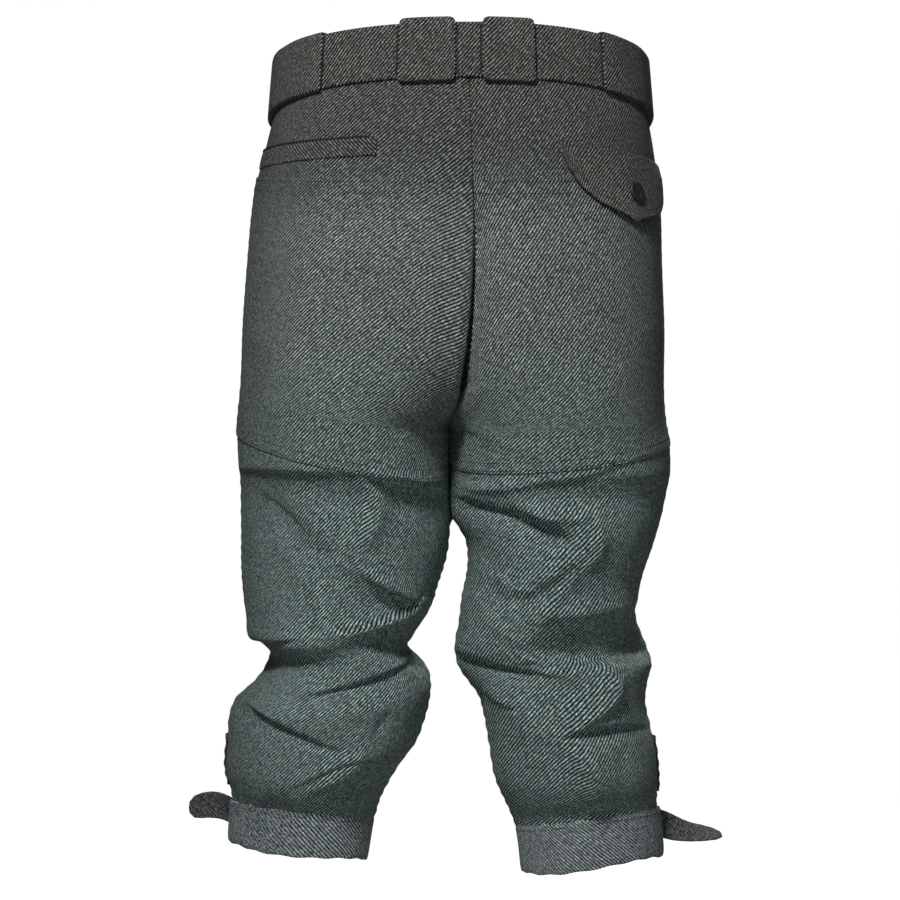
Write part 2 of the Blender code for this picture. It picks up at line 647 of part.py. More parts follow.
# How far the flap's outer face stands off the panel at distances down it: it passes over the seat patch's edge
FlapRow = namedtuple("FlapRow", "down lift")
FLAP_LIFTS = (FlapRow(0, 2.9), FlapRow(12, 5.0), FlapRow(66, 8.0))


def flap_lift(down):
    """How far the flap's outer face stands off the panel."""
    return np.interp(down, column(FLAP_LIFTS, "down"), column(FLAP_LIFTS, "lift"))


def flap_place(panel, across, down, out):
    """A place on the flap: `across` is -1 at its outer end and 1 at its inner end, `down` in millimetres."""
    turn = np.interp(across, [-1, 1], FLAP_TURNS)
    top = np.interp(across, [-1, 1], [FLAP_TOP_OUTER, FLAP_TOP_INNER])
    return panel.at(panel.level_at(top - down, turn), turn, out)


def build_flap(panel, material, collection):
    """The right back pocket's flap with its scalloped lower edge, lifting away from the cloth."""
    half = column(FLAP_EDGE, "across")
    half = np.sort(np.concatenate([half, (half[1:5] + half[:4]) / 2]))
    across = np.concatenate([-half[:0:-1], half])
    drop = np.interp(np.abs(across), column(FLAP_EDGE, "across"), column(FLAP_EDGE, "drop"))
    down = np.linspace(0, 1, FLAP_ROWS)[:, None] * drop[None, :]
    lift = flap_lift(down) + np.clip(-across, 0, 1)[None, :] * down * FLAP_CORNER_LIFT
    points = flap_place(panel, across[None, :], down, lift)
    ahead = flap_place(panel, across[None, :], down, lift + 1)
    cloth_piece("pocket_flap", points, ahead - points, FLAP_CLOTH, material, collection)


BUTTON_RADIUS = 8.5
BUTTON_HEIGHT = 3.2
BUTTON_DROP = 35.0
BUTTON_STEPS = 16
Turn = namedtuple("Turn", "radius height")
BUTTON_PROFILE = (
    Turn(0, 0), Turn(BUTTON_RADIUS - 1.4, 0), Turn(BUTTON_RADIUS, 1.2), Turn(BUTTON_RADIUS, 2.4),
    Turn(BUTTON_RADIUS - 0.9, BUTTON_HEIGHT), Turn(BUTTON_RADIUS - 2.4, BUTTON_HEIGHT - 0.2),
    Turn(BUTTON_RADIUS - 3.4, BUTTON_HEIGHT - 0.9), Turn(0, BUTTON_HEIGHT - 1.0),
)


def build_button(panel, material, collection):
    """The flap's button, a turned disc with a rim, flat on the flap."""
    down = np.array(BUTTON_DROP)
    lift = flap_lift(down)
    seat = flap_place(panel, np.array(0.0), down, lift + LAY_GAP)
    right = flap_place(panel, np.array(0.05), down, lift + LAY_GAP) - seat
    lower = flap_place(panel, np.array(0.0), down + 8, lift + LAY_GAP + 0.4) - seat
    outward = np.cross(right, lower)
    outward /= np.linalg.norm(outward)
    if outward[1] < 0:
        outward = -outward
    shape = bmesh.new()
    corners = [shape.verts.new((turn.radius * MM, 0, turn.height * MM)) for turn in BUTTON_PROFILE]
    for first, second in zip(corners, corners[1:]):
        shape.edges.new((first, second))
    mesh = bpy.data.meshes.new("flap_button")
    shape.to_mesh(mesh)
    shape.free()
    button = place("flap_button", mesh, material, collection)
    spin = button.modifiers.new("Turned", "SCREW")
    spin.steps = BUTTON_STEPS
    spin.render_steps = BUTTON_STEPS
    spin.use_merge_vertices = True
    spin.merge_threshold = 0.00005
    spin.use_normal_calculate = True
    button.rotation_mode = "QUATERNION"
    button.rotation_quaternion = Vector(outward).to_track_quat("Z", "Y")
    button.location = [value * MM for value in seat]


FLY_WIDTH_TURN = 0.16
FLY_TIP_TURN = 0.02
FLY_TOP = WAISTBAND_FOOT - 6.5
FLY_FOOT = -208.0
FLY_CURVE = 60.0
FLY_STAND = 0.8
FLY_LINES = 4


def build_fly(panel, material, collection):
    """The fly's cover on the left front, which curves to the seam at its foot."""
    levels = panel.levels[(panel.levels < FLY_TOP - 2) & (panel.levels > FLY_FOOT + 6)]
    levels = np.concatenate([[FLY_TOP], levels, [FLY_FOOT]])
    share = np.clip((levels - FLY_FOOT) / FLY_CURVE, 0, 1)
    breadth = FLY_WIDTH_TURN * np.sqrt(1 - (1 - share) ** 2) + FLY_TIP_TURN
    turns = -(1 - EDGE_TURN) + breadth[:, None] * np.linspace(0, 1, FLY_LINES)[None, :]
    outs = LAY_GAP + FLY_CLOTH + FLY_STAND
    points = panel.at(levels[:, None], turns, outs)
    ahead = panel.at(levels[:, None], turns, outs + 1)
    cloth_piece("fly_cover", points, ahead - points, FLY_CLOTH, material, collection)


def cuff_point(leg, turn, share, out):
    """A place on a cuff: `share` is 0 at its upper edge and 1 at its lower edge."""
    level = CUFF_TOPS[leg] - SEAM_GAP - share * CUFF_HEIGHTS[leg]
    points, outward = form(leg, level, turn)
    return points + outward * np.asarray(out, float)[..., None], outward


# A cuff's section: `share` of its height down, and how far its face stands out from the leg's plain form. Its
# back end laps over the strap, and its lower edge waves.
CuffRow = namedtuple("CuffRow", "share stand")
CUFF_ROWS = (CuffRow(0, 0.1), CuffRow(0.12, 1.0), CuffRow(0.5, 1.0), CuffRow(0.88, 1.0), CuffRow(1, 0.1))
CUFF_STAND = 1.0
CUFF_COLUMNS = 15
CUFF_BACK_END = -0.03
CUFF_FRONT_END = -0.075
CUFF_LAP = 3.6
CUFF_LAP_TURN = 0.22
CUFF_WAVE = 1.6
CUFF_WAVES = 9.0


def cuff_turns():
    """Turns round a cuff, from the back end at the vent by the inseam to the front end."""
    back = np.linspace(CUFF_BACK_END, 1, CUFF_COLUMNS)
    front = np.linspace(-1, CUFF_FRONT_END, CUFF_COLUMNS)
    return np.concatenate([back, front[1:]])


def build_cuff(leg, material, collection):
    """A cuff band, whose back end laps over the strap at the vent."""
    turns = cuff_turns()
    shares = column(CUFF_ROWS, "share")
    at_back_end = turns > CUFF_BACK_END - 0.01
    lap = np.clip((CUFF_LAP_TURN - turns) / CUFF_LAP_TURN, 0, 1) * at_back_end
    out = column(CUFF_ROWS, "stand")[:, None] + CUFF_LAP * (lap * lap * (3 - 2 * lap))[None, :]
    wave = CUFF_WAVE * np.sin(turns * CUFF_WAVES + SIDE[leg])[None, :] * shares[:, None]
    points, outward = cuff_point(leg, turns[None, :], shares[:, None], out)
    points = points + np.stack([0 * wave, 0 * wave, wave], -1)
    cloth_piece(f"cuff_{leg}", points, outward, CUFF_CLOTH, material, collection)


# Each strap lies on its cuff's front half, then leaves it at the vent. A course's rows say where its free part
# goes: across toward the leg's outer side, back and up, with its breadth and its twist about its length.
STRAP_ROOT_TURNS = (-0.27, -0.21, -0.16, -0.12)
STRAP_ROOT_SHARES = {"left": 0.35, "right": 0.32}
STRAP_BREADTH = 23.0
STRAP_LINES = (1.0, 0.4, -0.4, -1.0)
Course = namedtuple("Course", "out back up width twist")
STRAPS = {
    "left": (
        Course(214.5, -15, -660.5, 23, 0), Course(221, -10.5, -657, 23, 0), Course(229, -8, -655.5, 23, 0),
        Course(238, -6, -656, 22, 0), Course(245, -5, -657, 19, 0), Course(249, -4, -657.5, 10, 0),
    ),
    "right": (
        Course(188, -16, -674.5, 23, 12), Course(196, -12, -677.5, 23, 28), Course(209, -10, -681, 22, 46),
        Course(224, -11, -683, 21, 58), Course(235, -12, -684, 17, 64), Course(241, -13, -684.5, 8, 66),
    ),
}


def build_strap(leg, material, collection):
    """A cuff's free strap, which leaves the cuff at the vent and points away from the leg."""
    side = SIDE[leg]
    stand_off = CUFF_STAND + LAY_GAP + STRAP_CLOTH
    turns = np.array(STRAP_ROOT_TURNS)
    root = cuff_point(leg, turns, STRAP_ROOT_SHARES[leg], np.full(turns.shape, stand_off))[0]
    root[:, 0] *= side
    rows = STRAPS[leg]
    free = np.stack([column(rows, "out"), column(rows, "back"), column(rows, "up")], -1)
    middle = np.concatenate([root, free])
    width = np.concatenate([np.full(len(root), STRAP_BREADTH), column(rows, "width")])
    twist = np.radians(np.concatenate([np.zeros(len(root)), column(rows, "twist")]))[:, None]
    run = np.gradient(middle, axis=0)
    run /= np.linalg.norm(run, axis=-1, keepdims=True)
    up = np.array([0.0, 0.0, 1.0])
    face = np.cross(run, up)
    face /= np.linalg.norm(face, axis=-1, keepdims=True)
    breadth = np.cos(twist) * up + np.sin(twist) * face
    normal = np.cross(run, breadth)
    lines = np.array(STRAP_LINES)
    points = np.stack([middle + breadth * line * width[:, None] / 2 for line in lines])
    outward = np.broadcast_to(normal, points.shape).copy()
    points[..., 0] *= side
    outward[..., 0] *= side
    shares = STRAP_ROOT_SHARES[leg] - lines * STRAP_BREADTH / 2 / CUFF_HEIGHTS[leg]
    on_cuff = cuff_point(leg, turns[None, :], shares[:, None], np.full((len(lines), len(turns)), stand_off))
    points[:, :len(turns)] = on_cuff[0]
    outward[:, :len(turns)] = on_cuff[1]
    cloth_piece(f"strap_{leg}", points, outward, STRAP_CLOTH, material, collection)


VENT_ABOVE_CUFF = 14.0
VENT_TOPS = {"left": -590.0, "right": -592.0}

# The strip's section, by turn from the side seam: `stand` is how far it stands out over its own thickness
VentLine = namedtuple("VentLine", "turn stand")
VENT_LINES = (VentLine(-0.085, 0.0), VentLine(-0.045, 0.4), VentLine(-0.004, 1.2))


def build_vent(leg, panel, material, collection):
    """The strip along the vent above a cuff, on the front panel's side edge."""
    top, foot = VENT_TOPS[leg], CUFF_TOPS[leg] + VENT_ABOVE_CUFF
    between = panel.levels[(panel.levels < top - 4) & (panel.levels > foot + 4)]
    levels = np.concatenate([[top], between, [foot]])
    turns = column(VENT_LINES, "turn")
    outs = LAY_GAP + STRIP_CLOTH + column(VENT_LINES, "stand")[None, :]
    points = panel.at(levels[:, None], turns[None, :], outs)
    ahead = panel.at(levels[:, None], turns[None, :], outs + 1)
    cloth_piece(f"vent_{leg}", points, ahead - points, STRIP_CLOTH, material, collection)


def main():
    for old in list(bpy.data.objects):
        bpy.data.objects.remove(old)
    collection = bpy.data.collections.new("knee_breeches")
    bpy.context.scene.collection.children.link(collection)
    twill = finish("wool_twill", (0.085, 0.1, 0.098), 0.9)
    trim = finish("wool_twill_trim", (0.07, 0.08, 0.08), 0.9)
    horn = finish("dark_button", (0.03, 0.032, 0.035), 0.4)
    steel = finish("slide_steel", (0.35, 0.35, 0.34), 0.35, 1.0)
    panels = build_panels(twill, collection)
    build_waistband(trim, collection)
    build_belt(trim, collection)
    build_carriers(trim, collection)
    build_slide(steel, collection)
    build_keeper(trim, collection)
    build_welt(panels["left", "back"], trim, collection)
    build_flap(panels["right", "back"], trim, collection)
    build_button(panels["right", "back"], horn, collection)
    build_fly(panels["left", "front"], trim, collection)
    for leg in SIDE:
        build_cuff(leg, trim, collection)
        build_strap(leg, trim, collection)
        build_vent(leg, panels[leg, "front"], trim, collection)


main()
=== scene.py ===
import logging
import math
from dataclasses import dataclass, field
from enum import Enum
from typing import NamedTuple

import bpy
import numpy as np
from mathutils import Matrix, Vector


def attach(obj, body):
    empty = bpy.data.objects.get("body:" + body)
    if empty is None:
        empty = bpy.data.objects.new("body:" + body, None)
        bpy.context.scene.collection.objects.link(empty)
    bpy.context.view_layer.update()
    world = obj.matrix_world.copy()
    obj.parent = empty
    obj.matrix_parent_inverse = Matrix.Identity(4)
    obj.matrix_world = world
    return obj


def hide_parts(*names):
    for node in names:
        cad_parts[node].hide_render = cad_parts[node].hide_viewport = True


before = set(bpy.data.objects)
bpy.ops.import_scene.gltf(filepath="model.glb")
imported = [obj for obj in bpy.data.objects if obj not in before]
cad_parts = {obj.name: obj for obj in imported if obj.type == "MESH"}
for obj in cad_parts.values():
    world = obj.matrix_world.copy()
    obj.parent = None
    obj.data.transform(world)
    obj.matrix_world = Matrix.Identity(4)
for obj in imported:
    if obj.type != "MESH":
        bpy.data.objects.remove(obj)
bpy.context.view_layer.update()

logging.basicConfig(level=logging.INFO, format="%(message)s")
LOG = logging.getLogger("breeches")

MM = 0.001
Array = np.ndarray

# Cloth, gaps and heights in millimetres, as in the part's source
PANEL_CLOTH = 1.6
PATCH_CLOTH = 1.2
SEAM_GAP = 0.6
LAY_GAP = 0.5
WAISTBAND_TOP = 22.5
WAISTBAND_FOOT = -21.0
BELT_TOP = 23.0
BELT_FOOT = -24.0
PATCH_TOP = -78.0
PATCH_FOOT = {"left": -311.0, "right": -321.0}
CUFF_TOPS = {"left": -650.0, "right": -656.0}
CUFF_HEIGHTS = {"left": 38.0, "right": 43.0}
CUFF_OUT = 1.0
ROUNDNESS = 2.2
CROTCH = -302.0
SIDE = {"left": 1.0, "right": -1.0}
HALF_GIRTH = 250.0


class Trunk(NamedTuple):
    """One row of the trunk: depths from the side seam, how far it is parted into legs, and its seams."""

    level: float
    front: float
    back: float
    part: float
    seam_back: float
    seam_front: float
    lean: float


class Outer(NamedTuple):
    """The outer edge of a leg at one height, and how its rows slant."""

    level: float
    outer: float
    slant: float


class Inner(NamedTuple):
    """The inner edge of a leg at one height."""

    level: float
    inner: float


class Fold(NamedTuple):
    """A fold's path seen from behind, by its start, middle and end, with its rise and its two breadths."""

    x0: float
    z0: float
    x1: float
    z1: float
    x2: float
    z2: float
    rise: float
    above: float
    below: float


TRUNK = (
    Trunk(-760, 53, 58, 1.00, 8, 8, 0.06),
    Trunk(-710, 57, 62, 1.00, 8, 8, 0.06),
    Trunk(-662, 61, 66, 1.00, 8, 8, 0.06),
    Trunk(-652, 62, 68, 1.00, 8, 8, 0.04),
    Trunk(-638, 72, 81, 1.00, 8, 8, 0.00),
    Trunk(-600, 84, 93, 1.00, 8, 8, 0.00),
    Trunk(-560, 91, 94, 1.00, 8, 8, 0.00),
    Trunk(-520, 96, 89, 1.00, 8, 8, 0.00),
    Trunk(-460, 103, 98, 1.00, 8, 8, -0.03),
    Trunk(-400, 108, 106, 1.00, 7, 7, -0.08),
    Trunk(-340, 111, 113, 1.00, 9, 9, -0.12),
    Trunk(-302, 113, 124, 1.00, 9, 9, -0.13),
    Trunk(-280, 114, 131, 0.86, 4, 4, -0.14),
    Trunk(-250, 115, 137, 0.66, -2, 1, -0.14),
    Trunk(-210, 115, 140, 0.48, -8, 0, -0.12),
    Trunk(-150, 114, 138, 0.34, -12, 0, -0.10),
    Trunk(-78, 113, 128, 0.18, -11, 0, -0.10),
    Trunk(-34, 115, 121, 0.035, -8, 0, 0.20),
    Trunk(-29, 115, 120, 0.017, -8, 0, 0.20),
    Trunk(-24, 115, 120, 0.005, -8, 0, 0.20),
    Trunk(-20, 115, 120, 0.00, -8, 0, 0.20),
    Trunk(30, 115, 118, 0.00, -8, 0, 0.20),
    Trunk(60, 115, 117, 0.00, -8, 0, 0.20),
)
OUTER = {
    "left": (
        Outer(-740, 210, 0.12), Outer(-688, 209, 0.12), Outer(-650, 208, 0.12), Outer(-636, 211, 0.12),
        Outer(-623, 214, 0.12), Outer(-595, 213, 0.12), Outer(-568, 211, 0.12), Outer(-556, 206, 0.12),
        Outer(-540, 189, 0.12), Outer(-524, 178, 0.12), Outer(-511, 175, 0.12), Outer(-498, 192, 0.12),
        Outer(-480, 196, 0.13), Outer(-448, 200, 0.14), Outer(-393, 201, 0.17), Outer(-347, 202, 0.19),
        Outer(-315, 204, 0.20), Outer(-264, 200, 0.16), Outer(-209, 198, 0.12), Outer(-154, 194, 0.05),
        Outer(-108, 190, 0.00), Outer(-80, 186, 0.00), Outer(-52, 178, 0.00), Outer(-34, 173, 0.00),
        Outer(-29, 171.4, 0.00), Outer(-24, 171, 0.00), Outer(-20, 170.7, 0.00), Outer(60, 164, 0.00),
    ),
    "right": (
        Outer(-740, 183, 0.13), Outer(-699, 183, 0.13), Outer(-656, 180, 0.13), Outer(-632, 181, 0.12),
        Outer(-604, 179, 0.12), Outer(-577, 174, 0.11), Outer(-558, 170, 0.11), Outer(-540, 172, 0.11),
        Outer(-522, 176, 0.10), Outer(-510, 173, 0.10), Outer(-494, 166, 0.10), Outer(-476, 161, 0.10),
        Outer(-448, 166, 0.10), Outer(-411, 178, 0.10), Outer(-374, 188, 0.10), Outer(-347, 192, 0.10),
        Outer(-324, 192, 0.10), Outer(-301, 188, 0.09), Outer(-209, 186, 0.05), Outer(-154, 184, 0.02),
        Outer(-108, 183, 0.00), Outer(-80, 181, 0.00), Outer(-52, 177, 0.00), Outer(-34, 173.5, 0.00),
        Outer(-29, 172.4, 0.00), Outer(-24, 172, 0.00), Outer(-20, 171.7, 0.00), Outer(60, 165, 0.00),
    ),
}
INNER = {
    "left": (
        Inner(-760, 90), Inner(-697, 85), Inner(-669, 80), Inner(-650, 74), Inner(-632, 65), Inner(-614, 54),
        Inner(-595, 40), Inner(-577, 33), Inner(-558, 28), Inner(-540, 27), Inner(-531, 29), Inner(-520, 37),
        Inner(-510, 48), Inner(-494, 41), Inner(-475, 29), Inner(-448, 19), Inner(-425, 12), Inner(-393, 9),
        Inner(-350, 11), Inner(-310, 11), Inner(-280, 11),
    ),
    "right": (
        Inner(-760, 58), Inner(-706, 56), Inner(-687, 54), Inner(-669, 50), Inner(-650, 41), Inner(-632, 33),
        Inner(-595, 26), Inner(-568, 21), Inner(-552, 16), Inner(-540, 7), Inner(-529, -1), Inner(-512, -5),
        Inner(-485, -1), Inner(-466, 1), Inner(-430, 7), Inner(-411, 5), Inner(-393, -4), Inner(-350, -7),
        Inner(-310, -7), Inner(-280, -7),
    ),
}
# The garment's main folds, which the part's solids have too, by leg and face
FOLDS = {
    ("left", "back"): (
        Fold(215, -343, 110, -349, 8, -372, 4.5, 26, 9), Fold(215, -362, 110, -368, 8, -388, -2, 9, 22),
        Fold(92, -354, 79, -387, 98, -426, 6, 15, 15), Fold(180, -368, 146, -412, 116, -456, -7, 20, 20),
        Fold(163, -420, 157, -452, 152, -482, -5, 14, 14), Fold(112, -432, 44, -462, 80, -490, 6, 18, 14),
        Fold(70, -490, 124, -500, 205, -502, 6, 24, 16), Fold(215, -522, 150, -520, 84, -512, -4, 12, 18),
        Fold(30, -520, 90, -535, 152, -552, -4, 14, 12), Fold(214, -548, 124, -563, 30, -545, 6, 16, 16),
        Fold(208, -560, 140, -583, 100, -600, -4, 10, 14), Fold(92, -592, 100, -614, 142, -634, 7, 14, 14),
        Fold(134, -636, 98, -630, 60, -618, -5, 10, 12),
    ),
    ("left", "front"): (
        Fold(205, -420, 130, -455, 40, -448, 6, 24, 14), Fold(40, -470, 120, -484, 205, -474, -4, 12, 20),
        Fold(205, -505, 120, -520, 40, -500, 6, 18, 14), Fold(45, -540, 120, -548, 208, -538, -4, 12, 14),
        Fold(208, -580, 140, -592, 60, -578, 8, 16, 14), Fold(70, -610, 130, -622, 200, -612, -6, 12, 14),
        Fold(160, -150, 90, -230, 30, -292, -5, 20, 20),
    ),
    ("right", "back"): (
        Fold(-205, -350, -110, -352, 0, -364, 4.5, 26, 9), Fold(-205, -372, -120, -372, 2, -380, -3, 9, 18),
        Fold(-40, -366, -80, -382, -130, -384, 6, 12, 12), Fold(0, -376, -57, -391, -102, -418, -8, 10, 14),
        Fold(-130, -392, -96, -428, -46, -462, 8, 18, 18), Fold(-14, -448, -62, -460, -106, -420, -7, 14, 16),
        Fold(-58, -519, -124, -516, -200, -506, -22, 36, 8), Fold(-66, -508, -84, -526, -122, -514, 9, 12, 12),
        Fold(-114, -514, -136, -534, -92, -574, 9, 15, 15), Fold(4, -518, -38, -522, -104, -530, -8, 10, 12),
        Fold(-98, -580, -132, -579, -185, -572, -5, 14, 14), Fold(-92, -578, -118, -608, -126, -652, 7, 14, 14),
        Fold(-20, -545, -55, -560, -90, -600, 6, 16, 16),
    ),
    ("right", "front"): (
        Fold(-190, -405, -110, -430, -20, -424, 8, 24, 14), Fold(-15, -448, -90, -462, -175, -450, -4, 12, 20),
        Fold(-175, -490, -100, -508, -10, -492, 6, 18, 14), Fold(-10, -530, -90, -540, -175, -528, -4, 12, 14),
        Fold(-178, -572, -110, -586, -30, -574, 8, 16, 14), Fold(-45, -612, -110, -622, -176, -608, -6, 12, 14),
        Fold(-155, -150, -85, -230, -25, -292, -5, 20, 20),
    ),
}
# Small creases that only the dressed cloth has, placed as the photograph shows them
CREASES = {
    ("left", "back"): (
        Fold(84, -342, 52, -351, 16, -357, 2.0, 4, 4), Fold(78, -356, 72, -384, 88, -414, 3.2, 9, 9),
        Fold(93, -358, 86, -392, 100, -422, -2.4, 6, 6), Fold(174, -362, 131, -408, 95, -450, -2.8, 9, 9),
        Fold(120, -424, 62, -450, 50, -470, 3.4, 7, 7), Fold(50, -466, 80, -481, 168, -498, 3.8, 7, 8),
        Fold(206, -504, 165, -500, 116, -490, -3.8, 3.5, 6), Fold(56, -498, 76, -501, 98, -497, -3.0, 4, 5),
        Fold(156, -583, 122, -598, 84, -604, 2.2, 5, 5), Fold(120, -633, 98, -626, 74, -614, -2.4, 4, 5),
        Fold(60, -556, 74, -580, 78, -604, -2.0, 5, 5), Fold(192, -572, 168, -590, 160, -618, -1.8, 6, 6),
        Fold(150, -120, 110, -150, 60, -158, 1.0, 12, 12), Fold(12, -126, 4, -160, 1, -190, -2.2, 6, 6),
        Fold(60, -240, 30, -272, 10, -296, -1.8, 6, 8), Fold(90, -250, 50, -292, 16, -318, 1.6, 8, 8),
        Fold(190, -210, 150, -262, 110, -300, 1.2, 14, 14),
    ),
    ("left", "front"): (
        Fold(180, -440, 130, -462, 76, -468, 3.0, 6, 6), Fold(150, -560, 118, -572, 84, -566, 2.8, 6, 6),
        Fold(60, -590, 104, -604, 150, -600, -2.6, 4, 5), Fold(190, -380, 150, -410, 96, -424, -2.4, 7, 7),
        Fold(90, -260, 60, -286, 24, -302, 2.2, 7, 8), Fold(120, -236, 74, -268, 20, -292, -2.0, 7, 8),
        Fold(150, -60, 140, -130, 150, -200, 1.2, 14, 14),
    ),
    ("right", "back"): (
        Fold(-46, -150, -52, -220, -50, -290, 1.6, 12, 12), Fold(0, -300, -40, -322, -90, -330, 1.6, 7, 7),
        Fold(-176, -200, -140, -262, -96, -300, 1.2, 14, 14), Fold(0, -358, -38, -361, -80, -352, 2.8, 4, 6),
        Fold(-46, -370, -70, -385, -117, -388, 3.2, 5, 6), Fold(-114, -388, -124, -411, -106, -438, 3.4, 7, 7),
        Fold(-106, -436, -88, -458, -64, -494, 3.2, 8, 8), Fold(-64, -514, -100, -517, -130, -525, 4.0, 4, 5),
        Fold(-125, -521, -135, -546, -92, -579, 4.0, 5, 6), Fold(-92, -588, -114, -616, -118, -650, 3.0, 6, 6),
        Fold(-66, -474, -118, -472, -190, -458, 5.5, 12, 24), Fold(-20, -470, -34, -488, -60, -498, 2.0, 6, 6),
        Fold(-150, -590, -146, -610, -150, -636, -1.8, 6, 6), Fold(-40, -556, -62, -586, -70, -632, 2.0, 9, 9),
    ),
    ("right", "front"): (
        Fold(-170, -430, -120, -448, -60, -440, 3.0, 6, 6), Fold(-130, -556, -96, -566, -60, -558, 2.8, 6, 6),
        Fold(-40, -584, -84, -598, -130, -592, -2.6, 4, 5), Fold(-164, -372, -124, -400, -70, -412, -2.4, 7, 7),
        Fold(-84, -262, -56, -288, -20, -304, 2.2, 7, 8), Fold(-110, -238, -66, -268, -16, -294, -2.0, 7, 8),
        Fold(-140, -60, -132, -130, -142, -200, 1.2, 14, 14),
    ),
}
# Laps, where the cloth falls over itself: it stands out above the line and sinks below it
LAPS = {
    ("left", "back"): (
        Fold(204, -347, 127, -347, 72, -351, 4, 14, 10), Fold(84, -348, 54, -360, 6, -368, 7, 10, 16),
        Fold(86, -354, 58, -382, 22, -410, -4, 24, 8), Fold(182, -364, 147, -393, 116, -436, 3.6, 26, 26),
        Fold(110, -402, 84, -439, 44, -460, 4.6, 16, 22), Fold(44, -456, 70, -478, 178, -498, -6.4, 22, 16),
        Fold(208, -500, 182, -501, 146, -495, 4, 8, 10), Fold(52, -500, 40, -510, 16, -517, 4.4, 8, 10),
        Fold(34, -514, 84, -534, 152, -550, 8.5, 16, 12), Fold(196, -551, 146, -579, 88, -604, 7.5, 10, 13),
        Fold(150, -630, 122, -615, 88, -602, 4.4, 8, 12), Fold(120, -640, 96, -631, 66, -622, 3, 8, 8),
    ),
    ("left", "front"): (
        Fold(200, -468, 140, -483, 66, -478, 6, 12, 13), Fold(52, -518, 118, -535, 196, -521, 6.5, 12, 12),
        Fold(196, -562, 150, -579, 86, -574, 5, 10, 12), Fold(56, -436, 100, -452, 156, -438, -4, 14, 12),
        Fold(160, -602, 112, -613, 66, -606, 3.6, 8, 10), Fold(200, -396, 150, -420, 104, -424, 3, 16, 18),
    ),
    ("right", "back"): (
        Fold(4, -370, -28, -379, -60, -388, 7.5, 12, 14), Fold(-50, -389, -82, -396, -106, -416, 6.5, 10, 10),
        Fold(-64, -356, -104, -352, -150, -338, 3, 12, 10), Fold(-54, -511, -92, -516, -136, -519, -9, 26, 12),
        Fold(5, -512, -38, -523, -96, -529, 9, 10, 14), Fold(-88, -583, -129, -575, -172, -579, 8, 10, 18),
        Fold(-20, -546, -44, -556, -66, -552, 3, 12, 14), Fold(-18, -420, -40, -444, -74, -452, -3.6, 16, 14),
    ),
    ("right", "front"): (
        Fold(-174, -444, -110, -463, -36, -453, 6, 12, 13), Fold(-24, -504, -90, -521, -166, -511, 6.5, 12, 12),
        Fold(-166, -556, -110, -574, -46, -566, 5, 10, 12), Fold(-18, -418, -70, -431, -126, -419, -4, 14, 12),
        Fold(-150, -596, -104, -606, -56, -598, 3.6, 8, 10), Fold(-176, -384, -130, -402, -84, -404, 3, 16, 18),
    ),
}
FOLD_GAIN = 1.0
CREASE_GAIN = 1.3
LAP_GAIN = 1.25
# How far raised cloth droops, the points along a fold's path, and a lap's edge in millimetres
FOLD_DROOP = 0.35
FOLD_SAMPLES = 49
LAP_EDGE = 1.6
# How many breadths a fold reaches, how bluntly it ends, and over how many millimetres its breadth changes
FOLD_REACH = 3.2
FOLD_FADE = 0.7
FOLD_CHANGE = 6.0
# The share of a ridge or a trough that is a sharp crease, and that crease's form
RIDGE_CREASE = 0.4
TROUGH_CREASE = 0.5
CREASE_POWER = 1.3


class Bearing(Enum):
    """How a twill's lines run on a piece, as degrees turned from the rising diagonal."""

    RISING = 4.0
    STEEP = 9.0
    SHALLOW = -4.0
    FALLING = -88.0


def column(table: tuple, name: str) -> Array:
    """One named column of a table, as numbers."""
    return np.array([getattr(row, name) for row in table], float)


def smooth_curve(at: Array, values: Array, fine: Array) -> Array:
    """A smooth curve through values at given places, read at finer places."""
    slopes = np.gradient(values, at)
    i = np.clip(np.searchsorted(at, fine) - 1, 0, len(at) - 2)
    span = at[i + 1] - at[i]
    t = (fine - at[i]) / span
    start = (2 * t**3 - 3 * t**2 + 1) * values[i] + (t**3 - 2 * t**2 + t) * span * slopes[i]
    finish = (3 * t**2 - 2 * t**3) * values[i + 1] + (t**3 - t**2) * span * slopes[i + 1]
    return start + finish


def along(table: tuple, name: str, at: Array) -> Array:
    """Reads a named column at any level, on a smooth curve through the table's rows, lowest first."""
    levels = column(table, "level")
    return smooth_curve(levels, column(table, name), np.clip(at, levels[0], levels[-1]))


def unit(vectors: Array) -> Array:
    """The same directions with length 1."""
    return vectors / np.maximum(np.linalg.norm(vectors, axis=-1, keepdims=True), 1e-9)


def smooth(share: Array) -> Array:
    """A soft step from 0 to 1."""
    share = np.clip(share, 0, 1)
    return share * share * (3 - 2 * share)


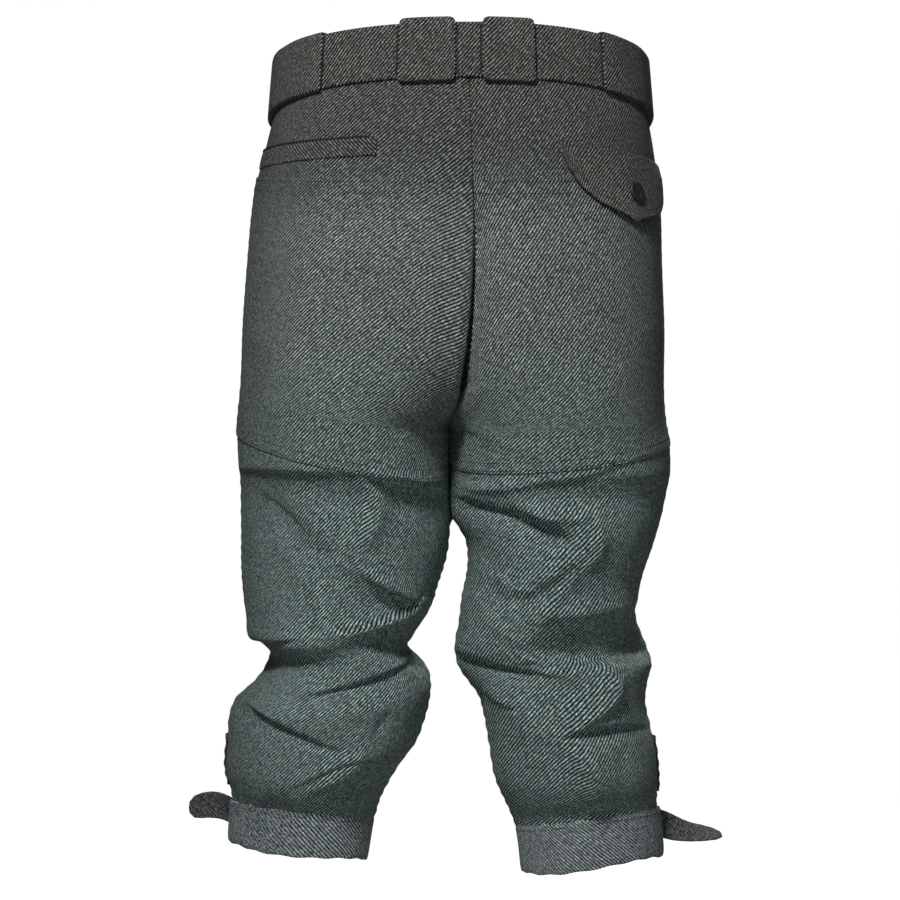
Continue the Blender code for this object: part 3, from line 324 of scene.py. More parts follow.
def fold_height(fold: Fold, x: Array, z: Array, lapped: bool) -> Array:
    """How far one fold lifts the cloth at places seen as X and Z.

    Args:
        fold: the ridge, trough or lap.
        x: places across, in millimetres.
        z: places up, in millimetres.
        lapped: whether it's a lap, and not a ridge or a trough.

    Returns:
        The lift at each place, in millimetres.
    """
    reach = FOLD_REACH * max(fold.above, fold.below)
    lows = [min(path) - reach for path in (fold[0:6:2], fold[1:6:2])]
    highs = [max(path) + reach for path in (fold[0:6:2], fold[1:6:2])]
    close = (x > lows[0]) & (x < highs[0]) & (z > lows[1]) & (z < highs[1])
    lift = np.zeros(x.shape)
    t = np.linspace(0, 1, FOLD_SAMPLES)
    bend_x = 2 * fold.x1 - (fold.x0 + fold.x2) / 2
    bend_z = 2 * fold.z1 - (fold.z0 + fold.z2) / 2
    path_x = (1 - t) ** 2 * fold.x0 + 2 * t * (1 - t) * bend_x + t**2 * fold.x2
    path_z = (1 - t) ** 2 * fold.z0 + 2 * t * (1 - t) * bend_z + t**2 * fold.z2
    across = x[close][:, None] - path_x
    up = z[close][:, None] - path_z
    distance = np.hypot(across, up)
    near = distance.argmin(axis=-1)
    least = distance.min(axis=-1)
    across = np.take_along_axis(across, near[:, None], -1)[:, 0]
    up = np.take_along_axis(up, near[:, None], -1)[:, 0]
    fade = np.sin(math.pi * (near + 0.5) / FOLD_SAMPLES) ** FOLD_FADE
    if lapped:
        slope_x, slope_z = np.gradient(path_x)[near], np.gradient(path_z)[near]
        upright = np.where(slope_x < 0, -1, 1) / np.hypot(slope_x, slope_z)
        beyond = (slope_x * up - slope_z * across) * upright
        breadth = np.where(beyond > 0, fold.above, fold.below)
        lift[close] = fold.rise / 2 * fade * (np.tanh(beyond / LAP_EDGE) * np.exp(-least / breadth))
        return lift
    above = smooth(0.5 + up / FOLD_CHANGE)
    far = least / (fold.below + (fold.above - fold.below) * above)
    share = TROUGH_CREASE if fold.rise < 0 else RIDGE_CREASE
    profile = (1 - share) * np.exp(-(far**2)) + share * np.exp(-((far * 2) ** CREASE_POWER))
    lift[close] = fold.rise * fade * profile
    return lift


def form(leg: str, level: Array, turn: Array) -> tuple[Array, Array]:
    """Points and outward directions of one half of the garment, without folds.

    Args:
        leg: left or right.
        level: rows, named by their height at the side seam.
        turn: 0 at the side seam, 1 at the back seam or the inseam, -1 at the front's.

    Returns:
        The points in millimetres and their level outward directions.
    """
    side = SIDE[leg]
    level, turn = np.broadcast_arrays(np.asarray(level, float), np.asarray(turn, float))
    behind = turn > 0
    outer = along(OUTER[leg], "outer", level)
    slant = along(OUTER[leg], "slant", level)
    inside_level = level - slant * outer
    seam = np.where(behind, along(TRUNK, "seam_back", inside_level), along(TRUNK, "seam_front", inside_level))
    seam = side * seam + SEAM_GAP / 2
    part = np.clip(along(TRUNK, "part", inside_level), 0, 1)
    joined = inside_level > CROTCH
    half_joined = (outer - seam) / (1 + part)
    inner = along(INNER[leg], "inner", inside_level)
    inner = along(INNER[leg], "inner", level - slant * (outer - inner))
    half = np.where(joined, half_joined, (outer - inner) / 2)
    middle = outer - half
    depth = np.where(behind, along(TRUNK, "back", level), along(TRUNK, "front", level))
    reach = np.where(joined, math.pi - np.arccos(part ** (ROUNDNESS / 2)), math.pi)
    angle = np.abs(turn) * reach
    power = 2 / ROUNDNESS
    cosine = np.sign(np.cos(angle)) * np.abs(np.cos(angle)) ** power
    sine = np.abs(np.sin(angle)) ** power * np.where(behind, 1, -1)
    x = middle + half * cosine
    y = depth * sine
    ahead = np.sign(cosine) * np.abs(cosine) ** (ROUNDNESS - 1) / half
    astern = np.sign(sine) * np.abs(sine) ** (ROUNDNESS - 1) / depth
    length = np.hypot(ahead, astern)
    outward = np.stack([side * ahead / length, astern / length, np.zeros_like(x)], -1)
    z = level - slant * (outer - x) + along(TRUNK, "lean", inside_level) * y
    return np.stack([side * x, y, z], -1), outward


def folded(leg: str, level: Array, turn: Array, out: Array = 0.0) -> Array:
    """Points of one half of the garment with its folds and creases.

    Args:
        leg: left or right.
        level: rows, as form takes them.
        turn: turns, as form takes them.
        out: how far the points are moved out, in millimetres.

    Returns:
        The points in millimetres.
    """
    points, outward = form(leg, level, turn)
    lift = np.zeros(points.shape[:-1])
    facing = {"back": outward[..., 1], "front": -outward[..., 1]}
    for table, gain in ((FOLDS, FOLD_GAIN), (CREASES, CREASE_GAIN), (LAPS, LAP_GAIN)):
        for face, towards in facing.items():
            shown = smooth((towards + 0.1) / 0.45)
            for fold in table[leg, face]:
                lift += gain * shown * fold_height(fold, points[..., 0], points[..., 2], table is LAPS)
    points = points + outward * lift[..., None]
    points[..., 2] -= FOLD_DROOP * np.clip(lift, 0, None)
    return points + outward * np.asarray(out, float)[..., None]


def normals_of(points: Array, outward: Array) -> Array:
    """True surface normals of a grid, on the outward side."""
    down = np.gradient(points, axis=0)
    across = np.gradient(points, axis=1)
    normal = unit(np.cross(across, down))
    return -normal if (normal * outward).sum() < 0 else normal


@dataclass
class Sheet:
    """A piece of cloth as a grid of points on its outer face, upper row first.

    Attributes:
        points: the outer face in millimetres, rows by columns by 3.
        outward: roughly outward directions of the same shape.
        thickness: the cloth's thickness in millimetres.
        bulge: how far its edges round out past the grid, in millimetres.
        shear: bends the weave near a centre seam, in millimetres up for each point of the grid.
        plain: the same grid without folds, which the weave's places are measured on.
    """

    points: Array
    outward: Array
    thickness: float
    bulge: float = 0.5
    shear: Array | None = None
    plain: Array | None = None
    edge_steps: int = 4

    def __post_init__(self) -> None:
        """Finds the true normals."""
        self.outward = np.broadcast_to(self.outward, self.points.shape)
        self.plain = self.points if self.plain is None else self.plain
        self.normals = normals_of(self.points, self.outward)

    def lengths(self, points: Array) -> tuple[Array, Array]:
        """Arc lengths along the rows and down the columns of a grid, in millimetres."""
        across = np.linalg.norm(np.diff(points, axis=1), axis=-1)
        down = np.linalg.norm(np.diff(points, axis=0), axis=-1)
        across = np.concatenate([np.zeros((len(across), 1)), across.cumsum(axis=1)], axis=1)
        down = np.concatenate([np.zeros((1, down.shape[1])), down.cumsum(axis=0)], axis=0)
        return across, down

    def flat_places(self) -> Array:
        """Where each point lies on the flat cloth, right and up as seen from outside, in metres."""
        across, down = self.lengths(self.plain)
        middle = across.shape[1] // 2
        right = np.cross([0.0, 0.0, 1.0], self.normals[:, :-1])
        way = np.sign((right * np.diff(self.points, axis=1)).sum())
        aside = unit(right[:, middle - 1].mean(axis=0))
        u = way * (across - across[:, middle : middle + 1]) + (self.plain[:, middle] @ aside)[:, None]
        v = self.plain[:1, :, 2] - down
        if self.shear is not None:
            v = v + self.shear
        return np.stack([u, v], -1) * MM

    def cut(self) -> tuple[float, float, float]:
        """The cut's width, length and area, in metres and square metres."""
        across, down = self.lengths(self.points)
        width = float(across[:, -1].max()) * MM
        length = float(down[-1].max()) * MM
        a = self.points[1:, 1:] - self.points[:-1, :-1]
        b = self.points[1:, :-1] - self.points[:-1, 1:]
        area = float(np.linalg.norm(np.cross(a, b), axis=-1).sum()) / 2 * MM * MM
        return width, length, min(area, width * length)

    def edge_directions(self) -> Array:
        """Directions out of the sheet in its own plane, along its border."""
        found = np.zeros_like(self.points)
        found[0] += unit(self.points[0] - self.points[1])
        found[-1] += unit(self.points[-1] - self.points[-2])
        found[:, 0] += unit(self.points[:, 0] - self.points[:, 1])
        found[:, -1] += unit(self.points[:, -1] - self.points[:, -2])
        return unit(found)

    def mesh(self, name: str) -> bpy.types.Mesh:
        """A closed wall with rounded edges and its own UV map.

        Args:
            name: the mesh's name.

        Returns:
            The new mesh, in metres.
        """
        rows, columns = self.points.shape[:2]
        index = np.arange(rows * columns).reshape(rows, columns)
        border = np.concatenate([index[0], index[1:, -1], index[-1, -2::-1], index[-2:0:-1, 0]])
        outer = self.points.reshape(-1, 3)
        normal = self.normals.reshape(-1, 3)
        inner = outer - normal * self.thickness
        ahead = self.edge_directions().reshape(-1, 3)[border]
        places = self.flat_places().reshape(-1, 2)
        verts = [outer, inner]
        uvs = [places, places]
        loops = [border]
        middle = (outer + inner)[border] / 2
        for step in range(1, self.edge_steps):
            angle = math.pi * step / self.edge_steps
            reach = normal[border] * math.cos(angle) * self.thickness / 2 + ahead * math.sin(angle) * self.bulge
            loops.append(2 * rows * columns + (step - 1) * len(border) + np.arange(len(border)))
            verts.append(middle + reach)
            uvs.append(places[border])
        loops.append(border + rows * columns)
        quad_corners = [index[:-1, :-1], index[:-1, 1:], index[1:, 1:], index[1:, :-1]]
        front = np.stack(quad_corners, -1).reshape(-1, 4)
        back = front[:, ::-1] + rows * columns
        rims = []
        for near, far in zip(loops, loops[1:]):
            rims.append(np.stack([np.roll(near, -1), near, far, np.roll(far, -1)], -1))
        quads = np.concatenate([front, back, *rims])
        points = np.concatenate(verts)
        first = points[front]
        facing = np.cross(first[:, 2] - first[:, 0], first[:, 3] - first[:, 1])
        if (facing * normal[front[:, 0]]).sum() < 0:
            quads = quads[:, ::-1]
        mesh = bpy.data.meshes.new(name)
        mesh.from_pydata((points * MM).tolist(), [], quads.tolist())
        layer = mesh.uv_layers.new(name="Cloth")
        uv = np.concatenate(uvs)[quads.reshape(-1)]
        layer.data.foreach_set("uv", uv.reshape(-1).astype(np.float32))
        mesh.update()
        return soften(mesh)


def soften(mesh: bpy.types.Mesh) -> bpy.types.Mesh:
    """Shades a mesh smoothly and returns it."""
    mesh.polygons.foreach_set("use_smooth", np.ones(len(mesh.polygons), bool))
    return mesh


def plain_mesh(source: bpy.types.Object) -> bpy.types.Mesh:
    """The mesh that a curve or a node tree results in, its source removed."""
    graph = bpy.context.evaluated_depsgraph_get()
    mesh = bpy.data.meshes.new_from_object(source.evaluated_get(graph))
    bpy.data.objects.remove(source)
    return soften(mesh)


class Socket(NamedTuple):
    """A named socket of a node group."""

    name: str
    kind: str
    value: float | None = None


class Tree:
    """A small helper that adds nodes to a tree and joins them."""

    def __init__(self, tree: bpy.types.NodeTree) -> None:
        """Takes the tree to add to."""
        self.tree = tree

    def node(self, kind: str, **settings: object) -> bpy.types.Node:
        """Adds a node and sets its properties."""
        made = self.tree.nodes.new(kind)
        for name, value in settings.items():
            setattr(made, name, value)
        return made

    def join(self, value: object, socket: bpy.types.NodeSocket) -> None:
        """Links a socket, or sets a plain value."""
        if isinstance(value, bpy.types.NodeSocket):
            self.tree.links.new(value, socket)
        elif value is not None:
            socket.default_value = value

    def math(self, operation: str, *values: object, clamp: bool = False) -> bpy.types.NodeSocket:
        """A math node's result."""
        made = self.node("ShaderNodeMath", operation=operation, use_clamp=clamp)
        for value, socket in zip(values, made.inputs):
            self.join(value, socket)
        return made.outputs[0]

    def ramp(self, value: object, low: object, high: object, to_low: object = 0.0, to_high: object = 1.0):
        """A value mapped smoothly from one range to another."""
        made = self.node("ShaderNodeMapRange", interpolation_type="SMOOTHSTEP")
        for item, socket in zip((value, low, high, to_low, to_high), made.inputs):
            self.join(item, socket)
        return made.outputs[0]

    def mix(self, share: object, first: object, second: object) -> bpy.types.NodeSocket:
        """A colour between two colours."""
        made = self.node("ShaderNodeMix", data_type="RGBA")
        self.join(share, made.inputs[0])
        self.join(first, made.inputs[6])
        self.join(second, made.inputs[7])
        return made.outputs[2]

    def tint(self, colour: object, by: object) -> bpy.types.NodeSocket:
        """A colour multiplied by another."""
        made = self.node("ShaderNodeMix", data_type="RGBA", blend_type="MULTIPLY")
        made.inputs[0].default_value = 1.0
        self.join(colour, made.inputs[6])
        self.join(by, made.inputs[7])
        return made.outputs[2]

    def noise(self, vector: object, scale: float, detail: float = 2.0, rough: float = 0.5):
        """A noise texture's value."""
        made = self.node("ShaderNodeTexNoise")
        self.join(vector, made.inputs["Vector"])
        made.inputs["Scale"].default_value = scale
        made.inputs["Detail"].default_value = detail
        made.inputs["Roughness"].default_value = rough
        return made.outputs["Fac"]

    def relief(self, height: object, strength: float, distance: float, shader: bpy.types.Node) -> None:
        """Gives a shader a bump, its height in the node's units and its distance in metres."""
        made = self.node("ShaderNodeBump")
        made.inputs["Strength"].default_value = strength
        made.inputs["Distance"].default_value = distance
        self.join(height, made.inputs["Height"])
        self.join(made.outputs[0], shader.inputs["Normal"])


def new_material(name: str) -> tuple[bpy.types.Material, Tree, bpy.types.Node]:
    """A new material with its tree and its shader."""
    made = bpy.data.materials.new(name)
    made.use_nodes = True
    return made, Tree(made.node_tree), made.node_tree.nodes["Principled BSDF"]


def new_group(name: str, inputs: list[Socket], outputs: list[Socket]) -> tuple[Tree, object, object]:
    """Starts a shader node group with named sockets.

    Args:
        name: the group's name.
        inputs: its inputs.
        outputs: its outputs.

    Returns:
        The tree, the group's input node and its output node.
    """
    group = bpy.data.node_groups.new(name, "ShaderNodeTree")
    for socket in inputs:
        made = group.interface.new_socket(socket.name, in_out="INPUT", socket_type=socket.kind)
        if socket.value is not None:
            made.default_value = socket.value
    for socket in outputs:
        group.interface.new_socket(socket.name, in_out="OUTPUT", socket_type=socket.kind)
    tree = Tree(group)
    return tree, tree.node("NodeGroupInput"), tree.node("NodeGroupOutput")


def weave_group() -> bpy.types.NodeTree:
    """A two-by-two twill of light ends and dark picks, read from places on the flat cloth.

    Returns:
        The node group, with outputs for the light yarn's mask, the yarns' height, their flecks and the
        dashes that the lines break into.
    """
    tree, given, result = new_group(
        "twill weave",
        [
            Socket("Place", "NodeSocketVector"),
            Socket("Yarn", "NodeSocketFloat", 0.001),
            Socket("Wander", "NodeSocketFloat", 0.3),
        ],
        [Socket(name, "NodeSocketFloat") for name in ("Light", "Height", "Fleck", "Dash")],
    )
    place = given.outputs["Place"]
    parts = tree.node("ShaderNodeSeparateXYZ")
    tree.join(place, parts.inputs[0])
    drift = tree.noise(place, 90.0, 2.0)
    drift = tree.math("MULTIPLY", tree.math("SUBTRACT", drift, 0.5), given.outputs["Wander"])
    drift_far = tree.math("MULTIPLY", tree.math("SUBTRACT", tree.noise(place, 22.0, 1.0), 0.5), 3.0)
    across = tree.math("ADD", tree.math("DIVIDE", parts.outputs[0], given.outputs["Yarn"]), drift)
    across = tree.math("ADD", across, drift_far)
    up = tree.math("ADD", tree.math("DIVIDE", parts.outputs[1], given.outputs["Yarn"]), drift)
    end = tree.math("FLOOR", across)
    pick = tree.math("FLOOR", up)
    step = tree.math("FLOORED_MODULO", tree.math("SUBTRACT", end, pick), 4.0)
    light = tree.math("LESS_THAN", step, 1.5)
    in_end = tree.math("SUBTRACT", tree.math("FRACT", across), 0.5)
    in_pick = tree.math("SUBTRACT", tree.math("FRACT", up), 0.5)
    end_height = tree.math("COSINE", tree.math("MULTIPLY", in_end, math.pi))
    pick_height = tree.math("COSINE", tree.math("MULTIPLY", in_pick, math.pi))
    height = tree.node("ShaderNodeMix", data_type="FLOAT")
    tree.join(light, height.inputs[0])
    tree.join(pick_height, height.inputs[2])
    tree.join(end_height, height.inputs[3])
    cell = tree.node("ShaderNodeCombineXYZ")
    tree.join(end, cell.inputs[0])
    tree.join(pick, cell.inputs[1])
    speck = tree.node("ShaderNodeTexWhiteNoise", noise_dimensions="2D")
    tree.join(cell.outputs[0], speck.inputs["Vector"])
    fibres = tree.noise(place, 1300.0, 3.0, 0.7)
    halves = [tree.math("MULTIPLY", value, 0.5) for value in (speck.outputs["Value"], fibres)]
    fleck = tree.math("ADD", *halves)
    slanted = tree.node("ShaderNodeCombineXYZ")
    tree.join(tree.math("MULTIPLY", tree.math("ADD", across, up), 0.16), slanted.inputs[0])
    tree.join(tree.math("MULTIPLY", tree.math("SUBTRACT", across, up), 0.36), slanted.inputs[1])
    dash = tree.ramp(tree.noise(slanted.outputs[0], 1.0, 2.0, 0.6), 0.34, 0.66)
    tree.join(light, result.inputs["Light"])
    tree.join(height.outputs[0], result.inputs["Height"])
    tree.join(fleck, result.inputs["Fleck"])
    tree.join(dash, result.inputs["Dash"])
    return tree.tree


@dataclass(frozen=True)
class TwillFinish:
    """Wool twill of light and dark yarns.

    Attributes:
        name: the material's name.
        painted_shade_top_light: the light yarn's colour at the waist, darker than over the seat: painted shade,
            along with a real shift to a more neutral tint.
        light: its colour over the seat and the thighs.
        low_light: its colour low on the legs; where it is lighter than light, as on the body and the cuffs, the
            extra brightness is painted light, along with a real change of tint.
        dark: the dark yarn's colour.
        yarn: a yarn's breadth in metres.
        bearing: how the lines are turned.
        bump: the strength of the yarns' relief.
        pepper: how far the lines give way to salt and pepper away from the sides.
    """

    name: str
    painted_shade_top_light: tuple[float, float, float] = (0.22, 0.232, 0.222)
    light: tuple[float, float, float] = (0.37, 0.43, 0.415)
    low_light: tuple[float, float, float] = (0.41, 0.545, 0.545)
    dark: tuple[float, float, float] = (0.003, 0.0045, 0.0065)
    yarn: float = 0.00091
    bearing: Bearing = Bearing.RISING
    bump: float = 0.8
    pepper: float = 0.03

    def material(self, weave: bpy.types.NodeTree) -> bpy.types.Material:
        """Builds the material.

        Args:
            weave: the shared weave group.

        Returns:
            The material.
        """
        made, tree, shader = new_material(self.name)
        flat = tree.node("ShaderNodeUVMap", uv_map="Cloth")
        turned = tree.node("ShaderNodeMapping", vector_type="POINT")
        turned.inputs["Rotation"].default_value = (0, 0, math.radians(-self.bearing.value))
        tree.join(flat.outputs[0], turned.inputs["Vector"])
        cloth = tree.node("ShaderNodeGroup", node_tree=weave)
        tree.join(turned.outputs[0], cloth.inputs["Place"])
        cloth.inputs["Yarn"].default_value = self.yarn
        cloth.inputs["Wander"].default_value = 0.9
        here = tree.node("ShaderNodeTexCoord").outputs["Object"]
        parts = tree.node("ShaderNodeSeparateXYZ")
        tree.join(here, parts.inputs[0])
        # Colour graded by height: the light yarn turns darker towards the waist, which is painted shade, and on
        # the body and the cuffs lighter low on the legs, which is painted light; the tint changes too.
        high = tree.ramp(parts.outputs[2], -0.15, -0.055)
        low = tree.ramp(parts.outputs[2], -0.19, -0.40)
        mottle = tree.noise(here, 26.0, 3.0, 0.6)
        light = tree.mix(low, (*self.light, 1), (*self.low_light, 1))
        light = tree.mix(high, light, (*self.painted_shade_top_light, 1))
        hue = tree.ramp(tree.noise(turned.outputs[0], 520.0, 2.0), 0.4, 0.6)
        light = tree.tint(light, tree.mix(hue, (0.88, 1.0, 1.08, 1), (1.14, 1.02, 0.86, 1)))
        aside = tree.math("ADD", tree.math("ABSOLUTE", parts.outputs[0]), tree.math("MULTIPLY", mottle, 0.05))
        pepper = tree.ramp(aside, 0.15, 0.215, self.pepper, 0.75)
        loose = tree.math("LESS_THAN", cloth.outputs["Fleck"], 0.5)
        shown = tree.node("ShaderNodeMix", data_type="FLOAT")
        tree.join(pepper, shown.inputs[0])
        tree.join(cloth.outputs["Light"], shown.inputs[2])
        tree.join(loose, shown.inputs[3])
        yarns = tree.mix(shown.outputs[0], (*self.dark, 1), light)
        fleck = tree.ramp(cloth.outputs["Fleck"], 0.25, 0.75)
        mottled = tree.ramp(mottle, 0.35, 0.7, 0.0, 0.14)
        middle = tree.mix(0.3, (*self.dark, 1), light)
        worn = tree.mix(mottled, yarns, middle)
        strength = tree.ramp(fleck, 0.2, 0.8, 0.6, 1.4)
        strength = tree.math("MULTIPLY", strength, tree.ramp(cloth.outputs["Dash"], 0.0, 1.0, 0.6, 1.36))
        # Yarns darker where they dip under each other and lighter on their crowns: painted shade and highlight
        # in the weave's relief, beside the real bump.
        strength = tree.math("MULTIPLY", strength, tree.ramp(cloth.outputs["Height"], 0.1, 0.9, 0.5, 1.15))
        grey = tree.node("ShaderNodeCombineColor")
        for socket in grey.inputs:
            tree.join(strength, socket)
        tree.join(tree.tint(worn, grey.outputs[0]), shader.inputs["Base Color"])
        height = tree.math("ADD", cloth.outputs["Height"], tree.math("MULTIPLY", fleck, 0.6))
        tree.relief(height, self.bump, 0.0004, shader)
        tree.join(tree.ramp(fleck, 0, 1, 0.82, 0.98), shader.inputs["Roughness"])
        shader.inputs["Specular IOR Level"].default_value = 0.12
        shader.inputs["Sheen Weight"].default_value = 0.06
        shader.inputs["Sheen Roughness"].default_value = 0.6
        shader.inputs["Sheen Tint"].default_value = (0.75, 0.8, 0.8, 1)
        return made


@dataclass(frozen=True)
class PlainFinish:
    """A thread, horn, steel or paper finish with a little unevenness.

    Attributes:
        name: the material's name.
        colour: its colour.
        other: the colour its mottling goes to.
        roughness: the shader's roughness at the middle of its range.
        metallic: 1 for metal.
        grain: the mottling's scale.
        bump: the bump's strength.
    """

    name: str
    colour: tuple[float, float, float]
    other: tuple[float, float, float]
    roughness: float
    metallic: float = 0.0
    grain: float = 300.0
    bump: float = 0.1

    def material(self) -> bpy.types.Material:
        """Builds the material and returns it."""
        made, tree, shader = new_material(self.name)
        here = tree.node("ShaderNodeTexCoord").outputs["Object"]
        grain = tree.noise(here, self.grain, 4.0, 0.6)
        spread = tree.ramp(grain, 0.35, 0.65)
        tree.join(tree.mix(spread, (*self.colour, 1), (*self.other, 1)), shader.inputs["Base Color"])
        rough = tree.ramp(grain, 0.3, 0.7, self.roughness - 0.08, self.roughness + 0.08)
        tree.join(rough, shader.inputs["Roughness"])
        shader.inputs["Metallic"].default_value = self.metallic
        tree.relief(grain, self.bump, 0.0002, shader)
        return made


def place(name: str, mesh: bpy.types.Mesh, material: bpy.types.Material, slot: str, *nodes: str):
    """Puts a finished mesh in the scene as the piece that stands for CAD nodes.

    Args:
        name: the piece's name.
        mesh: its mesh, in metres in the row frame.
        material: its material.
        slot: the record's slot; not used.
        nodes: the CAD nodes that it replaces.

    Returns:
        The piece.
    """
    mesh.materials.clear()
    mesh.materials.append(material)
    piece = bpy.data.objects.new(name, mesh)
    bpy.context.scene.collection.objects.link(piece)
    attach(piece, "root")
    if nodes:
        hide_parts(*nodes)
    LOG.info("%s: %d faces", name, len(mesh.polygons))
    return piece


@dataclass
class Wardrobe:
    """What every sub-assembly draws on: the finishes and the stitches gathered so far."""

    twill: dict[str, bpy.types.Material]
    button: bpy.types.Material
    steel: bpy.types.Material
    rows: list[tuple[Array, Array]] = field(default_factory=list)

    def lay(self, name: str, sheet: Sheet, finish: str, slot: str, held: str, rests: list[str], *nodes: str):
        """Makes a cloth piece and logs its cut.

        Args:
            name: the piece's name.
            sheet: its grid.
            finish: which twill.
            slot: the record's slot; not used.
            held: how the sheet is held; not used.
            rests: what it lies on or hangs from; not used.
            nodes: the CAD nodes it replaces.

        Returns:
            The piece.
        """
        piece = place(name, sheet.mesh(name), self.twill[finish], slot, *nodes)
        width, length, area = sheet.cut()
        LOG.info("%s: cut %.3f by %.3f m, %.4f m2", name, width, length, area)
        return piece

    def sew(self, points: Array, normals: Array, every: float = 3.6) -> None:
        """Adds a row of stitches along a path.

        Args:
            points: the path in millimetres.
            normals: the surface normals along it.
            every: a stitch's length and gap in millimetres.
        """
        run = np.concatenate([[0], np.linalg.norm(np.diff(points, axis=0), axis=-1).cumsum()])
        count = max(2, int(run[-1] / every))
        at = (np.arange(count) + 0.5) / count * run[-1]
        where = np.stack([np.interp(at, run, points[:, i]) for i in range(3)], -1)
        facing = unit(np.stack([np.interp(at, run, normals[:, i]) for i in range(3)], -1))
        ahead = unit(np.stack([np.interp(at + 0.5, run, points[:, i]) for i in range(3)], -1)
                     - np.stack([np.interp(at - 0.5, run, points[:, i]) for i in range(3)], -1))
        self.rows.append((where, np.concatenate([facing, ahead], -1)))


@dataclass
class Panel:
    """A front or a back of one leg, from the waistband to the cuff.

    Attributes:
        leg: left or right.
        face: front or back.
        groove: how deep the seams sink.
    """

    leg: str
    face: str
    groove: float = 1.2

    @property
    def spacing(self) -> float:
        """The grid's spacing in millimetres, finer on the backs."""
        return 1.9 if self.face == "back" else 2.8

    def columns(self) -> Array:
        """Turns from the side seam to the centre seam or inseam, closer together beside the seams."""
        near = np.array([0.05, 0.8, 1.6, 2.6, 4.0])
        inner = np.arange(6.0, HALF_GIRTH - 5.0, self.spacing)
        places = np.concatenate([near, inner, HALF_GIRTH - near[::-1]]) / HALF_GIRTH
        return places if self.face == "back" else -places

    def lift(self, level: Array, turn: Array) -> Array:
        """How far the cloth stands off the plain form: sunk and puckered seams, and a gathered foot."""
        level, turn = np.broadcast_arrays(np.asarray(level, float), np.asarray(turn, float))
        beside = np.minimum(np.abs(turn), 1 - np.abs(turn)) * HALF_GIRTH
        sunk = -self.groove * np.exp(-((beside / 1.7) ** 2))
        pucker = 0.45 * np.sin(level / 1.75 + 2.1 * np.sin(level / 17)) * np.exp(-((beside - 4) / 5) ** 2)
        above_cuff = level - CUFF_TOPS[self.leg]
        gather = np.sin(np.abs(turn) * 61 + 3 * np.sin(turn * 9)) * np.exp(-((above_cuff - 5) / 9) ** 2)
        height = form(self.leg, level, turn)[0][..., 2]
        from_seam = (1 - np.abs(turn)) * HALF_GIRTH
        stagger = 1.2 if (self.leg, self.face) in (("left", "front"), ("right", "back")) else -1.2
        touch = smooth((-270 - height) / 8) * smooth((height + 402) / 16) * smooth((38 - from_seam) / 26)
        lift = sunk + pucker + 0.8 * gather + touch * (1.8 + stagger * smooth(from_seam / 4))
        if self.face == "back":
            seat = smooth((-96 - height) / 60) * smooth((height + 300) / 30)
            if self.leg == "right":
                lift = lift - 6.5 * seat * np.exp(-(((from_seam - 4) / 7) ** 2))
            else:
                shoulder = 2.6 * np.exp(-(((from_seam - 9) / 6) ** 2))
                lift = lift + seat * (shoulder - 1.5 * np.exp(-((from_seam / 2) ** 2)))
        return lift

    def at(self, level: Array, turn: Array, out: Array = 0.0) -> Array:
        """Points on the panel, moved out from it."""
        level, turn, out = np.broadcast_arrays(*(np.asarray(v, float) for v in (level, turn, out)))
        return folded(self.leg, level, turn, out + self.lift(level, turn))

    def level_at(self, height: Array, turn: Array) -> Array:
        """The rows that reach the given heights, for each turn."""
        height, turn = np.broadcast_arrays(np.asarray(height, float), np.asarray(turn, float))
        levels = np.arange(-10.0, -340.0, -4.0)
        shape = height.shape
        turns = turn.reshape(-1)
        heights = form(self.leg, levels[:, None], turns[None, :])[0][..., 2]
        found = [np.interp(-h, -heights[:, i], levels) for i, h in enumerate(height.reshape(-1))]
        return np.array(found).reshape(shape)

    def outward(self, level: Array, turn: Array) -> Array:
        """The level outward directions."""
        return form(self.leg, level, turn)[1]

    def shear(self, levels: Array, turns: Array) -> Array | None:
        """How the weave lies over beside the centre-back seam of the left leg."""
        if self.face != "back":
            return None
        beside = (1 - np.abs(turns))[None, :] * HALF_GIRTH
        high = (smooth((levels - CROTCH) / 60) * smooth((-40 - levels) / 80))[:, None]
        if self.leg == "left":
            return high * 14 * np.exp(-((beside / 24) ** 2))
        return high * 12 * np.exp(-beside / 12)

    def build(self, wardrobe: Wardrobe) -> None:
        """Makes the panel."""
        top = WAISTBAND_FOOT - SEAM_GAP
        foot = CUFF_TOPS[self.leg]
        levels = np.linspace(top, foot, int((top - foot) / self.spacing) + 1)
        turns = self.columns()
        points = self.at(levels[:, None], turns[None, :])
        outward = self.outward(levels[:, None], turns[None, :])
        plain = form(self.leg, levels[:, None], turns[None, :])[0]
        turned_under = 3.8 if self.face == "front" else 0.95
        sheet = Sheet(points, outward, PANEL_CLOTH, turned_under, self.shear(levels, turns), plain)
        name = f"{self.face}_{self.leg}_cloth"
        finish = "body" if self.face == "front" or self.leg == "right" else "body_left"
        rests = [f"waistband_{self.leg}"]
        wardrobe.lay(name, sheet, finish, "twill", "hung", rests, f"{self.face}_{self.leg}")
        if self.leg == "left":
            rows = np.arange(-24.0, -262.0, -2.0)
            for out, every in ((0.3, 2.3), (-0.5, 1.4)):
                seam = self.at(rows, turns[-1], out) - np.array([SEAM_GAP / 2, 0, 0])
                wardrobe.sew(seam, self.outward(rows, turns[-1]), every)


